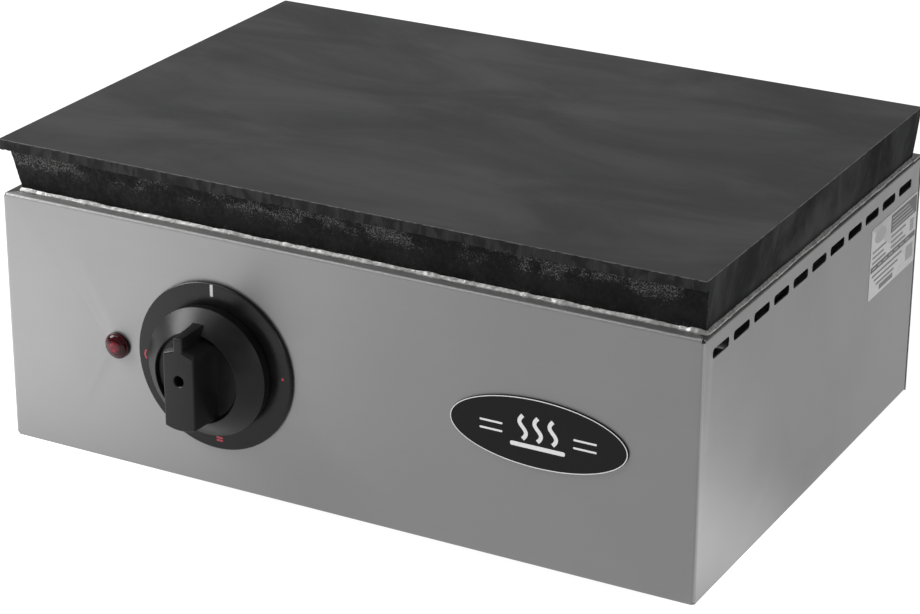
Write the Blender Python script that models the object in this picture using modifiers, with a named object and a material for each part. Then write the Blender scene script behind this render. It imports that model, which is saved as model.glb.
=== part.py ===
"""Table-top electric hot plate.

A cast-iron cooking plate stands on a folded sheet-steel casing. The casing holds the heating
elements, a rotary heat switch with its knob, an indicator lamp and the wiring.

Units are metres and +Z is up. The front faces -Y and the feet stand on Z = 0. The origin is under
the middle of the whole object, with the knob and the cable gland counted in.
"""

import math

import bmesh
import bpy
from mathutils import Matrix, Vector

# ---------------------------------------------------------------- general sizes
GAP = 0.0003  # left between pieces that touch
SHEET = 0.001  # sheet steel of the casing
BEND_RADIUS = 0.0018  # outer radius of the casing's folds
OVERRUN = 0.002  # how far a cutter runs past the face it opens

# ---------------------------------------------------------------- cooking plate
PLATE_WIDTH = 0.417
PLATE_DEPTH = 0.295
PLATE_HEIGHT = 0.0294
LIP_HEIGHT = 0.0059
LIP_STEP = 0.004
LIP_UNDERCUT = 0.0005  # fall of the lip's underside
PLATE_DRAFT = 0.004  # each cast side leans in by this much below the lip
PLATE_GROUND_DRAFT = 0.0028  # the machined right and rear sides lean in by this much over their height
POCKET_COUNT = 3
POCKET_DEPTH = 0.017
POCKET_RIB = 0.010
POCKET_END_WALL = 0.040  # solid iron in front of and behind the pockets
STUD_INSET_X = 0.0255
STUD_INSET_Y = 0.030
STUD_RADIUS = 0.004
STUD_IN_PLATE = 0.014
STUD_BELOW_RAIL = 0.014
STUD_NUT_WALL = 0.0025
STUD_NUT_HEIGHT = 0.0065

SEAL_WIDTH = 0.0022
SEAL_HEIGHT = 0.0026
SEAL_TOP_WIDTH = 0.0010

# ---------------------------------------------------------------- casing
PLATE_SIDE_OVERHANG = 0.0005
PLATE_FRONT_OVERHANG = 0.0006
CASING_BEHIND_PLATE = 0.0066
CASING_HEIGHT = 0.145
TOP_FLANGE = 0.015
BOTTOM_FLANGE = 0.020
REAR_RETURN = 0.015  # width of the side panels' folds behind
REAR_TOP_FLANGE = 0.014  # the rear panel's fold over the casing's top
REAR_SCREW_RADIUS = 0.00175
REAR_SCREW_HEAD = 0.0035
REAR_SCREW_HEAD_HEIGHT = 0.0021
REAR_SCREW_LENGTH = 0.008
REAR_SCREW_HEIGHTS = (0.025, 0.118)  # above the casing's lower edge

VENT_COUNT = 11
VENT_FRONT_MARGIN = 0.0203  # from the casing's front to the middle of the first vent
VENT_REAR_MARGIN = 0.0252
VENT_BRIDGE = 0.00555  # metal between two vents
VENT_HEIGHT = 0.0052
VENT_DROP = 0.0112  # from the casing's top to the middle of a vent
REAR_VENT_COUNT = 9
REAR_VENT_MARGIN = 0.080
REAR_VENT_BRIDGE = 0.008

BASE_VENT_ROWS = 2
BASE_VENT_COUNT = 6
BASE_VENT_PITCH = 0.045
BASE_VENT_LENGTH = 0.055
BASE_VENT_WIDTH = 0.006
BASE_VENT_ROW_PITCH = 0.110

FOOT_HEIGHT = 0.008  # under the casing's lower edge
FOOT_RADIUS = 0.012
FOOT_TREAD_RADIUS = 0.0105
FOOT_INSET = 0.050
FOOT_RECESS_DEPTH = 0.0045
FOOT_SCREW_RADIUS = 0.002
FOOT_SCREW_HEAD = 0.0038
FOOT_SCREW_HEAD_HEIGHT = 0.0022
FOOT_SCREW_SPARE = 0.004  # thread above the base plate
SCREWDRIVER_ROOM = 0.0017  # around a foot screw's head

# ---------------------------------------------------------------- heat pack under the plate
ELEMENT_RADIUS = 0.004
ELEMENT_LEGS = 4
ELEMENT_SIDE_MARGIN = 0.011
ELEMENT_END_MARGIN = 0.008
ELEMENT_ROOF_GAP = 0.001
ELEMENT_TAIL_BEND = 0.011
ELEMENT_TAIL_BELOW = 0.016  # tail left under the heat shield
ELEMENT_HOLE_MARGIN = 0.0012
COVER_SHEET = 0.0015
COVER_RIM = 0.009  # cover beyond the pockets
MAT_THICKNESS = 0.020
MAT_INSET = 0.003  # mat inside the shield's wall
SHIELD_SHEET = 0.0008
SHIELD_WALL = 0.015
RAIL_SHEET = 0.002
RAIL_WEB_FROM_STUD = 0.0168
RAIL_UNDER_FLANGE = 0.004  # how far a rail reaches under the casing's side flange
RAIL_LEDGE = 0.014
RAIL_END_GAP = 0.001
PACK_SIDE_GAP = 0.0012

# ---------------------------------------------------------------- knob, bezel and heat switch
KNOB_FROM_LEFT = 0.1352
KNOB_BELOW_TOP = 0.0734
KNOB_REACH = 0.036  # front of the grip ahead of the casing
BEZEL_RADIUS = 0.0478
BEZEL_FACE = 0.0025
BEZEL_EDGE = 0.0014
BEZEL_CHAMFER = 0.0015
KNOB_BACK_GAP = 0.0011
SKIRT_RADIUS = 0.0365
SKIRT_BACK_RADIUS = 0.0358
SKIRT_EDGE = 0.010
SKIRT_WALL = 0.0024
DISH_RIM_RADIUS = 0.0253
DISH_RIM = 0.0205
DISH_DEPTH = 0.003
DISH_LEAN = 0.001
GRIP_WIDTH = 0.0185
GRIP_FOOT_WIDTH = 0.0215
GRIP_BELOW = 0.024
GRIP_ABOVE = 0.0215
GRIP_FLARE = 0.0012
GRIP_END_RADIUS = 0.026
NIB_WIDTH = 0.005
NIB_REACH = 0.0295
GRIP_WALL = 0.003
HUB_WALL = 0.0052
DIMPLE_RADIUS = 0.003
DIMPLE_ABOVE_AXIS = 0.0045
DIMPLE_DEPTH = 0.007

SHAFT_RADIUS = 0.003
SHAFT_FLAT_CUT = 0.0008
SHAFT_IN_KNOB = 0.0165
SHAFT_HOLE_MARGIN = 0.003  # around the shaft in the panel and the bezel
SWITCH_SIZE = 0.044
SWITCH_DEPTH = 0.040
SWITCH_FRONT_WALL = 0.006
SWITCH_WALL = 0.0035
SWITCH_COVER = 0.004
SWITCH_TAB = (0.0008, 0.0063, 0.010)  # thickness, width and reach of a contact tab
SWITCH_ELEMENT_TABS = ((-0.013, 0.011), (0.013, 0.011), (0.013, -0.011))
SWITCH_LIVE_TAB = (-0.013, -0.011)
SWITCH_SCREW_OFFSET = 0.0125
SWITCH_SCREW_RADIUS = 0.002
SWITCH_SCREW_HEAD = 0.0036
SWITCH_SCREW_HEAD_HEIGHT = 0.0018
CAM_TO_WALL = 0.005
CAM_THICKNESS = 0.016
CAM_NOTCH_RADIUS = 0.004
CAM_NOTCHES = 4
SHAFT_BEHIND_CAM = 0.002

# ---------------------------------------------------------------- indicator lamp
LAMP_FROM_LEFT = 0.0723
LAMP_BELOW_TOP = 0.0749
LAMP_THREAD_RADIUS = 0.0057
LAMP_BODY_LENGTH = 0.024
LAMP_NUT_WALL = 0.0023
LAMP_NUT_HEIGHT = 0.003
LAMP_TAB = (0.0008, 0.003, 0.006)  # thickness, width and reach
LAMP_TAB_OFFSET = 0.003
LENS_WALL = 0.0017
LENS_RIM = 0.0016
LENS_DOME = 0.0030
LENS_HOLLOW = 0.0020

# ---------------------------------------------------------------- badge and rating label
BADGE_FROM_RIGHT = 0.0884
BADGE_BELOW_TOP = 0.0696
BADGE_SIZE = (0.1005, 0.0382)
BADGE_THICKNESS = 0.0009
LABEL_FROM_REAR = 0.0035
LABEL_BELOW_TOP = 0.0198
LABEL_SIZE = (0.0715, 0.0426)
LABEL_THICKNESS = 0.0003

# ---------------------------------------------------------------- cable gland, earth stud, wiring
GLAND_FROM_RIGHT = 0.070
GLAND_ABOVE_EDGE = 0.035
GLAND_REACH = 0.026
GLAND_BORE = 0.0065
GLAND_THREAD_WALL = 0.0033
GLAND_THREAD_LENGTH = 0.010
GLAND_NUT_WALL = 0.0022
GLAND_FLANGE_HEIGHT = 0.005
GLAND_DOME_WALL = 0.0047
GLAND_MOUTH_WALL = 0.0023
GLAND_CYLINDER = 0.0147  # height at which the dome starts to close
GLAND_NUT_HEIGHT = 0.005
EARTH_FROM_RIGHT = 0.110
EARTH_RADIUS = 0.003
EARTH_REACH = 0.014
EARTH_NUT_WALL = 0.002
EARTH_HEAD_HEIGHT = 0.004
EARTH_NUT_HEIGHT = 0.005
TERMINAL_DEPTH = 0.024
TERMINAL_HEIGHT = 0.018
TERMINAL_FROM_REAR = 0.085
TERMINAL_POLES = 3
TERMINAL_POLE_PITCH = 0.013
TERMINAL_END_WALL = 0.009
TERMINAL_BORE = 0.0026
TERMINAL_SCREW_BORE = 0.0024
TERMINAL_SCREW_DEPTH = 0.006
BUS_BAR_MARGIN = 0.003  # bar around a tail
BUS_BAR_SPINE = 0.006  # bar behind the tails that it passes
BUS_BAR_THICKNESS = 0.0015
BUS_BAR_ABOVE_TAIL = 0.004
WIRE_RADIUS = 0.0016
WIRE_STRAIGHT = 0.012  # how far a wire runs straight before it turns
WIRE_SAMPLES = 3  # points along each stretch between two route points

# ---------------------------------------------------------------- places worked out from the sizes
CASING_WIDTH = PLATE_WIDTH - 2 * PLATE_SIDE_OVERHANG
CASING_DEPTH = PLATE_DEPTH - PLATE_FRONT_OVERHANG + CASING_BEHIND_PLATE
LEFT = -CASING_WIDTH / 2
RIGHT = CASING_WIDTH / 2
FRONT = KNOB_REACH - (KNOB_REACH + CASING_DEPTH + GLAND_REACH) / 2
REAR = FRONT + CASING_DEPTH
MIDDLE_Y = (FRONT + REAR) / 2
BOTTOM = FOOT_HEIGHT
TOP = BOTTOM + CASING_HEIGHT
SHELL_REAR = REAR - SHEET - GAP  # the side panels end against the rear panel
REAR_FLANGE_TOP = TOP + GAP + SHEET
BEHIND_PANEL = -SHEET - GAP  # on an axis that points out of the casing

PLATE_BOTTOM = REAR_FLANGE_TOP + GAP
PLATE_LEFT = -PLATE_WIDTH / 2
PLATE_RIGHT = PLATE_WIDTH / 2
PLATE_FRONT = FRONT - PLATE_FRONT_OVERHANG
PLATE_REAR = PLATE_FRONT + PLATE_DEPTH
PLATE_MIDDLE = (PLATE_FRONT + PLATE_REAR) / 2

STUD_X = PLATE_WIDTH / 2 - STUD_INSET_X
RAIL_WEB = STUD_X - RAIL_WEB_FROM_STUD  # outer face of a rail's web
RAIL_OUTER = RIGHT - TOP_FLANGE + RAIL_UNDER_FLANGE
PACK_HALF_X = RAIL_WEB - RAIL_SHEET - PACK_SIDE_GAP
POCKET_LENGTH = PLATE_DEPTH - 2 * POCKET_END_WALL
PACK_HALF_Y = POCKET_LENGTH / 2 + COVER_RIM
POCKET_WIDTH = (2 * (PACK_HALF_X - COVER_RIM) - (POCKET_COUNT - 1) * POCKET_RIB) / POCKET_COUNT
LEG_PITCH = (POCKET_WIDTH - 2 * ELEMENT_SIDE_MARGIN - 2 * ELEMENT_RADIUS) / (ELEMENT_LEGS - 1)
LEG_FRONT = PLATE_MIDDLE - POCKET_LENGTH / 2 + ELEMENT_END_MARGIN + ELEMENT_RADIUS + LEG_PITCH / 2
LEG_REAR = 2 * PLATE_MIDDLE - LEG_FRONT
LEG_LEVEL = PLATE_BOTTOM + POCKET_DEPTH - ELEMENT_ROOF_GAP - ELEMENT_RADIUS
TAIL_Y = LEG_FRONT - ELEMENT_TAIL_BEND

BASE_BOTTOM = BOTTOM + SHEET + GAP
BASE_TOP = BASE_BOTTOM + SHEET
RAIL_TOP = TOP - SHEET - GAP
COVER_TOP = PLATE_BOTTOM - GAP
MAT_TOP = COVER_TOP - COVER_SHEET - GAP
SHIELD_TOP = MAT_TOP - MAT_THICKNESS - GAP
SHIELD_BOTTOM = SHIELD_TOP - SHIELD_SHEET
RAIL_LEDGE_TOP = SHIELD_BOTTOM - GAP
TAIL_END = SHIELD_BOTTOM - ELEMENT_TAIL_BELOW
BUS_BAR_LOW = TAIL_END + BUS_BAR_ABOVE_TAIL

VENT_PITCH = (CASING_DEPTH - VENT_FRONT_MARGIN - VENT_REAR_MARGIN) / (VENT_COUNT - 1)
REAR_VENT_PITCH = (CASING_WIDTH - 2 * REAR_VENT_MARGIN) / (REAR_VENT_COUNT - 1)

KNOB_X = LEFT + KNOB_FROM_LEFT
KNOB_Z = TOP - KNOB_BELOW_TOP
LAMP_X = LEFT + LAMP_FROM_LEFT
LAMP_Z = TOP - LAMP_BELOW_TOP
GLAND_X = RIGHT - GLAND_FROM_RIGHT
GLAND_Z = BOTTOM + GLAND_ABOVE_EDGE
EARTH_X = RIGHT - EARTH_FROM_RIGHT

KNOB_BACK = BEZEL_FACE + KNOB_BACK_GAP
DISH_FLOOR = DISH_RIM - DISH_DEPTH
SHAFT_HOLE_RADIUS = SHAFT_RADIUS + SHAFT_HOLE_MARGIN
HUB_RADIUS = SHAFT_RADIUS + GAP + HUB_WALL
CAM_RADIUS = SWITCH_SIZE / 2 - SWITCH_WALL - CAM_TO_WALL
LENS_RADIUS = LAMP_THREAD_RADIUS + LENS_WALL
GLAND_THREAD_RADIUS = GLAND_BORE + GLAND_THREAD_WALL
GLAND_ACROSS = 2 * (GLAND_THREAD_RADIUS + GLAND_NUT_WALL)
EARTH_ACROSS = 2 * (EARTH_RADIUS + EARTH_NUT_WALL)
STUD_NUT_ACROSS = 2 * (STUD_RADIUS + STUD_NUT_WALL)
LAMP_NUT_ACROSS = 2 * (LAMP_THREAD_RADIUS + LAMP_NUT_WALL)
FOOT_RECESS_RADIUS = FOOT_SCREW_HEAD + SCREWDRIVER_ROOM
TERMINAL_WIDTH = (TERMINAL_POLES - 1) * TERMINAL_POLE_PITCH + 2 * TERMINAL_END_WALL

ALONG = {
    "X": Matrix.Rotation(math.pi / 2, 4, "Y"),
    "Y": Matrix.Rotation(-math.pi / 2, 4, "X"),
    "Z": Matrix.Identity(4),
}


# ================================================================ scene helpers
def clear_scene():
    for obj in list(bpy.data.objects):
        bpy.data.objects.remove(obj, do_unlink=True)


def make_collection(name):
    collection = bpy.data.collections.new(name)
    bpy.context.scene.collection.children.link(collection)
    return collection


def make_material(name, colour, roughness, metallic):
    material = bpy.data.materials.new(name)
    material.use_nodes = True
    shader = material.node_tree.nodes["Principled BSDF"]
    shader.inputs["Base Color"].default_value = (*colour, 1)
    shader.inputs["Roughness"].default_value = roughness
    shader.inputs["Metallic"].default_value = metallic
    material.diffuse_color = (*colour, 1)
    return material


def add_axis(name, place, points_along):
    """An empty whose local Z runs along the world direction given, out of the casing."""
    empty = bpy.data.objects.new(name, None)
    empty.empty_display_size = 0.02
    empty.location = place
    empty.rotation_euler = (math.pi / 2 if points_along == "-Y" else -math.pi / 2, 0, 0)
    PIECES.objects.link(empty)
    return empty


def add_piece(name, mesh, material, parent=None):
    piece = bpy.data.objects.new(name, mesh)
    mesh.materials.append(material)
    piece.parent = parent
    PIECES.objects.link(piece)
    return piece


def add_helper(name, mesh, parent=None):
    helper = bpy.data.objects.new(name, mesh)
    helper.parent = parent
    helper.hide_render = True
    helper.display_type = "WIRE"
    HELPERS.objects.link(helper)
    return helper


def combine(piece, helper, operation):
    modifier = piece.modifiers.new(helper.name, "BOOLEAN")
    modifier.operation = operation
    modifier.solver = "EXACT"
    modifier.object = helper


def cut(piece, name, mesh, parent=None):
    helper = add_helper(name, mesh, parent)
    combine(piece, helper, "DIFFERENCE")
    return helper


def join(piece, name, mesh, parent=None):
    helper = add_helper(name, mesh, parent)
    combine(piece, helper, "UNION")
    return helper


def round_edges(piece, radius, segments):
    modifier = piece.modifiers.new("rounded edges", "BEVEL")
    modifier.width = radius
    modifier.segments = segments
    modifier.limit_method = "ANGLE"


# ================================================================ mesh makers
def mesh_of(name, bm, smooth=False):
    bmesh.ops.recalc_face_normals(bm, faces=bm.faces[:])
    mesh = bpy.data.meshes.new(name)
    bm.to_mesh(mesh)
    bm.free()
    if smooth:
        mesh.shade_smooth()
        mesh.set_sharp_from_angle(angle=math.radians(40))
    return mesh


def boxes(name, corners):
    """One box for each pair of its lowest and highest corner."""
    bm = bmesh.new()
    for low, high in corners:
        size = Vector(high) - Vector(low)
        middle = (Vector(high) + Vector(low)) / 2
        place = Matrix.Translation(middle) @ Matrix.Diagonal(size).to_4x4()
        bmesh.ops.create_cube(bm, size=1, matrix=place)
    return mesh_of(name, bm)


def rods(name, centres, radius, length, along="Z", sides=20):
    """A cylinder or, with few sides, a prism at each centre."""
    bm = bmesh.new()
    for centre in centres:
        place = Matrix.Translation(centre) @ ALONG[along]
        add_cylinder(bm, radius, length, sides, place)
    return mesh_of(name, bm, smooth=sides > 6)


def add_cylinder(bm, radius, length, sides, place):
    return bmesh.ops.create_cone(
        bm, cap_ends=True, segments=sides, radius1=radius, radius2=radius, depth=length, matrix=place
    )


def slots(name, centres, length, width, depth, along, runs, sides=8):
    """A round-ended slot at each centre: along is its depth's axis and runs the axis it is long in."""
    bm = bmesh.new()
    which = "XYZ".index(runs)
    for centre in centres:
        half_step = math.pi / sides
        place = Matrix.Translation(centre) @ ALONG[along] @ Matrix.Rotation(half_step, 4, "Z")
        made = add_cylinder(bm, width / 2 / math.cos(half_step), depth, sides, place)
        for vertex in made["verts"]:
            side = 1 if vertex.co[which] > centre[which] else -1
            vertex.co[which] += side * (length - width) / 2
    return mesh_of(name, bm)


def loft(name, outlines, smooth=False):
    """A closed solid through outlines that have the same number of points, lowest first."""
    bm = bmesh.new()
    rings = [[bm.verts.new(point) for point in outline] for outline in outlines]
    for lower, upper in zip(rings, rings[1:]):
        for i in range(len(lower)):
            j = (i + 1) % len(lower)
            bm.faces.new((lower[i], lower[j], upper[j], upper[i]))
    bm.faces.new(rings[0][::-1])
    bm.faces.new(rings[-1])
    return mesh_of(name, bm, smooth)


def profile_mesh(name, profile, closed=False):
    """The edges of a turned profile, as (radius, height) points, for a Screw modifier."""
    bm = bmesh.new()
    points = [bm.verts.new((radius, 0, height)) for radius, height in profile]
    for first, second in zip(points, points[1:]):
        bm.edges.new((first, second))
    if closed:
        bm.edges.new((points[-1], points[0]))
    mesh = bpy.data.meshes.new(name)
    bm.to_mesh(mesh)
    bm.free()
    return mesh


def turn_profile(piece, sides):
    modifier = piece.modifiers.new("turned", "SCREW")
    modifier.axis = "Z"
    modifier.steps = sides
    modifier.render_steps = sides
    modifier.use_smooth_shade = True
    modifier.use_merge_vertices = True
    modifier.merge_threshold = 0.00001


def add_turned(name, profile, material, parent, sides=32, closed=False):
    piece = add_piece(name, profile_mesh(name, profile, closed), material, parent)
    turn_profile(piece, sides)
    return piece


def add_tube(name, points, radius, material, resolution=1):
    curve = bpy.data.curves.new(name, "CURVE")
    curve.dimensions = "3D"
    curve.bevel_depth = radius
    curve.bevel_resolution = resolution
    curve.use_fill_caps = True
    spline = curve.splines.new("POLY")
    spline.points.add(len(points) - 1)
    for spot, point in zip(spline.points, points):
        spot.co = (*point, 1)
    curve.materials.append(material)
    piece = bpy.data.objects.new(name, curve)
    PIECES.objects.link(piece)
    return piece


def smooth_route(route):
    """Points along a smooth curve through every point of a route."""
    ends = [Vector(point) for point in route]
    ends = [ends[0] * 2 - ends[1], *ends, ends[-1] * 2 - ends[-2]]
    points = []
    for before, start, end, after in zip(ends, ends[1:], ends[2:], ends[3:]):
        for step in range(WIRE_SAMPLES):
            t = step / WIRE_SAMPLES
            bend = (before * -1 + start * 3 - end * 3 + after) * t**3
            lean = (before * 2 - start * 5 + end * 4 - after) * t**2
            points.append((start * 2 + (end - before) * t + lean + bend) / 2)
    points.append(ends[-2])
    return points


def hex_radius(across_flats):
    return across_flats / math.sqrt(3)


# ================================================================ casing
def build_casing():
    shell = add_piece(
        "casing_shell",
        boxes("casing_shell", [((LEFT, FRONT, BOTTOM), (RIGHT, SHELL_REAR, TOP))]),
        STAINLESS,
    )
    round_edges(shell, BEND_RADIUS, 3)
    inside = boxes(
        "casing inside",
        [((LEFT + SHEET, FRONT + SHEET, BOTTOM + SHEET), (RIGHT - SHEET, SHELL_REAR - SHEET, TOP - SHEET))],
    )
    round_edges(cut(shell, "casing_inside", inside), BEND_RADIUS - SHEET, 2)
    openings = {
        "casing_top_opening": (
            (LEFT + TOP_FLANGE, FRONT + TOP_FLANGE, TOP - SHEET - OVERRUN),
            (RIGHT - TOP_FLANGE, SHELL_REAR + OVERRUN, TOP + OVERRUN),
        ),
        "casing_bottom_opening": (
            (LEFT + BOTTOM_FLANGE, FRONT + BOTTOM_FLANGE, BOTTOM - OVERRUN),
            (RIGHT - BOTTOM_FLANGE, SHELL_REAR + OVERRUN, BOTTOM + SHEET + OVERRUN),
        ),
        "casing_rear_opening": (
            (LEFT + REAR_RETURN, SHELL_REAR - SHEET - OVERRUN, BOTTOM - OVERRUN),
            (RIGHT - REAR_RETURN, SHELL_REAR + OVERRUN, TOP + OVERRUN),
        ),
    }
    for name, corners in openings.items():
        cut(shell, name, boxes(name, [corners]))
    first_y = FRONT + VENT_FRONT_MARGIN
    centres = [(0, first_y + i * VENT_PITCH, TOP - VENT_DROP) for i in range(VENT_COUNT)]
    length = VENT_PITCH - VENT_BRIDGE
    vents = slots("side_vents", centres, length, VENT_HEIGHT, CASING_WIDTH + 2 * OVERRUN, "X", "Y")
    cut(shell, "side_vents", vents)
    panel_hole = SHEET + 2 * OVERRUN
    lamp_hole = rods(
        "lamp_hole", [(LAMP_X, FRONT, LAMP_Z)], LAMP_THREAD_RADIUS + GAP, panel_hole, "Y"
    )
    cut(shell, "lamp_hole", lamp_hole)
    shaft_hole = rods("shaft_hole", [(KNOB_X, FRONT, KNOB_Z)], SHAFT_HOLE_RADIUS, panel_hole, "Y")
    cut(shell, "shaft_hole", shaft_hole)
    screw_holes = rods(
        "switch_screw_holes", switch_screw_places(), SWITCH_SCREW_RADIUS + GAP, panel_hole, "Y", sides=12
    )
    cut(shell, "switch_screw_holes", screw_holes)
    cut(shell, "shell_screw_holes", rear_screw_holes("shell_screw_holes"))


def switch_screw_places():
    offsets = (-SWITCH_SCREW_OFFSET, SWITCH_SCREW_OFFSET)
    return [(KNOB_X + offset, FRONT, KNOB_Z + offset) for offset in offsets]


def rear_screw_places():
    across = CASING_WIDTH / 2 - REAR_RETURN / 2
    return [(side * across, REAR, BOTTOM + height) for side in (-1, 1) for height in REAR_SCREW_HEIGHTS]


def rear_screw_holes(name):
    return rods(name, rear_screw_places(), REAR_SCREW_RADIUS + GAP, 4 * SHEET + 2 * OVERRUN, "Y", sides=12)


def build_rear_panel():
    """The rear panel closes the casing and folds forward over the top of its flanges."""
    bm = bmesh.new()
    path = [(REAR - REAR_TOP_FLANGE, REAR_FLANGE_TOP), (REAR, REAR_FLANGE_TOP), (REAR, BOTTOM)]
    points = [bm.verts.new((LEFT, y, z)) for y, z in path]
    edges = [bm.edges.new(pair) for pair in zip(points, points[1:])]
    made = bmesh.ops.extrude_edge_only(bm, edges=edges)
    moved = [item for item in made["geom"] if isinstance(item, bmesh.types.BMVert)]
    bmesh.ops.translate(bm, verts=moved, vec=(CASING_WIDTH, 0, 0))
    bmesh.ops.recalc_face_normals(bm, faces=bm.faces[:])
    if sum(face.normal.y for face in bm.faces) < 0:
        bmesh.ops.reverse_faces(bm, faces=bm.faces[:])
    mesh = bpy.data.meshes.new("rear_panel")
    bm.to_mesh(mesh)
    bm.free()
    panel = add_piece("rear_panel", mesh, STAINLESS)
    round_edges(panel, BEND_RADIUS, 3)
    modifier = panel.modifiers.new("sheet", "SOLIDIFY")
    modifier.thickness = SHEET
    modifier.offset = -1
    modifier.use_even_offset = True
    first_x = LEFT + REAR_VENT_MARGIN
    centres = [(first_x + i * REAR_VENT_PITCH, REAR, TOP - VENT_DROP) for i in range(REAR_VENT_COUNT)]
    depth = 2 * SHEET + 2 * OVERRUN
    length = REAR_VENT_PITCH - REAR_VENT_BRIDGE
    vents = slots("rear_vents", centres, length, VENT_HEIGHT, depth, "Y", "X")
    cut(panel, "rear_vents", vents)
    cut(panel, "panel_screw_holes", rear_screw_holes("panel_screw_holes"))
    gland_hole = rods("gland_hole", [(GLAND_X, REAR, GLAND_Z)], GLAND_THREAD_RADIUS + GAP, depth, "Y")
    cut(panel, "gland_hole", gland_hole)
    earth_hole = rods("earth_hole", [(EARTH_X, REAR, GLAND_Z)], EARTH_RADIUS + GAP, depth, "Y", sides=16)
    cut(panel, "earth_hole", earth_hole)
    for number, place in enumerate(rear_screw_places(), 1):
        axis = add_axis(f"rear_screw_axis_{number}", place, "+Y")
        add_turned(
            f"rear_panel_screw_{number}",
            pan_head_profile(REAR_SCREW_RADIUS, REAR_SCREW_HEAD, REAR_SCREW_HEAD_HEIGHT, REAR_SCREW_LENGTH),
            ZINC,
            axis,
            sides=10,
        )


def pan_head_profile(shank_radius, head_radius, head_height, length, seat=GAP):
    """A pan-head screw whose head sits on local Z = seat and whose shank runs down from it."""
    return [
        (0, seat + head_height),
        (head_radius * 0.6, seat + head_height * 0.92),
        (head_radius * 0.92, seat + head_height * 0.6),
        (head_radius, seat),
        (shank_radius, seat),
        (shank_radius, seat - length + shank_radius),
        (shank_radius * 0.4, seat - length),
        (0, seat - length),
    ]


def foot_places():
    across = CASING_WIDTH / 2 - FOOT_INSET
    return [(side * across, y) for y in (FRONT + FOOT_INSET, REAR - FOOT_INSET) for side in (-1, 1)]


def build_base():
    margin = SHEET + GAP
    base = add_piece(
        "base_plate",
        boxes(
            "base_plate",
            [
                (
                    (LEFT + margin, FRONT + margin, BASE_BOTTOM),
                    (RIGHT - margin, SHELL_REAR - margin, BASE_TOP),
                )
            ],
        ),
        GALVANISED,
    )
    centres = [
        (
            (i - (BASE_VENT_COUNT - 1) / 2) * BASE_VENT_PITCH,
            MIDDLE_Y + (row - (BASE_VENT_ROWS - 1) / 2) * BASE_VENT_ROW_PITCH,
            BASE_BOTTOM,
        )
        for row in range(BASE_VENT_ROWS)
        for i in range(BASE_VENT_COUNT)
    ]
    depth = 2 * SHEET + 2 * OVERRUN
    vents = slots("base_vents", centres, BASE_VENT_LENGTH, BASE_VENT_WIDTH, depth, "Z", "Y")
    cut(base, "base_vents", vents)
    holes = [(x, y, BASE_BOTTOM) for x, y in foot_places()]
    cut(base, "foot_screw_holes", rods("foot_screw_holes", holes, FOOT_SCREW_RADIUS + GAP, depth, sides=12))
    foot_top = BASE_BOTTOM - GAP
    hole = FOOT_SCREW_RADIUS + GAP
    foot_profile = [
        (hole, foot_top),
        (FOOT_RADIUS, foot_top),
        (FOOT_RADIUS, foot_top - 0.002),
        (FOOT_TREAD_RADIUS, 0.001),
        (FOOT_TREAD_RADIUS - 0.001, 0),
        (FOOT_RECESS_RADIUS, 0),
        (FOOT_RECESS_RADIUS, FOOT_RECESS_DEPTH),
        (hole, FOOT_RECESS_DEPTH),
    ]
    reach = BASE_TOP - FOOT_RECESS_DEPTH + FOOT_SCREW_SPARE
    for number, (x, y) in enumerate(foot_places(), 1):
        foot = add_turned(f"foot_{number}", foot_profile, RUBBER, None, sides=18, closed=True)
        foot.location = (x, y, 0)
        screw = add_turned(
            f"foot_screw_{number}",
            pan_head_profile(FOOT_SCREW_RADIUS, FOOT_SCREW_HEAD, FOOT_SCREW_HEAD_HEIGHT, reach),
            ZINC,
            None,
            sides=10,
        )
        screw.location = (x, y, FOOT_RECESS_DEPTH)
        screw.rotation_euler = (math.pi, 0, 0)


# ================================================================ cooking plate and heat pack
def plate_outline(height, step):
    """The plate's corners at a height over its underside, pulled in by step on its cast sides."""
    lean = PLATE_GROUND_DRAFT * (PLATE_HEIGHT - height) / PLATE_HEIGHT
    left = PLATE_LEFT + step
    right = PLATE_RIGHT - lean
    front = PLATE_FRONT + step
    rear = PLATE_REAR - lean
    z = PLATE_BOTTOM + height
    return [(left, front, z), (right, front, z), (right, rear, z), (left, rear, z)]


def stud_places():
    along = PLATE_DEPTH / 2 - STUD_INSET_Y
    return [(side * STUD_X, PLATE_MIDDLE + end * along) for end in (-1, 1) for side in (-1, 1)]


def pocket_centres():
    pitch = POCKET_WIDTH + POCKET_RIB
    return [(i - (POCKET_COUNT - 1) / 2) * pitch for i in range(POCKET_COUNT)]


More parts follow.
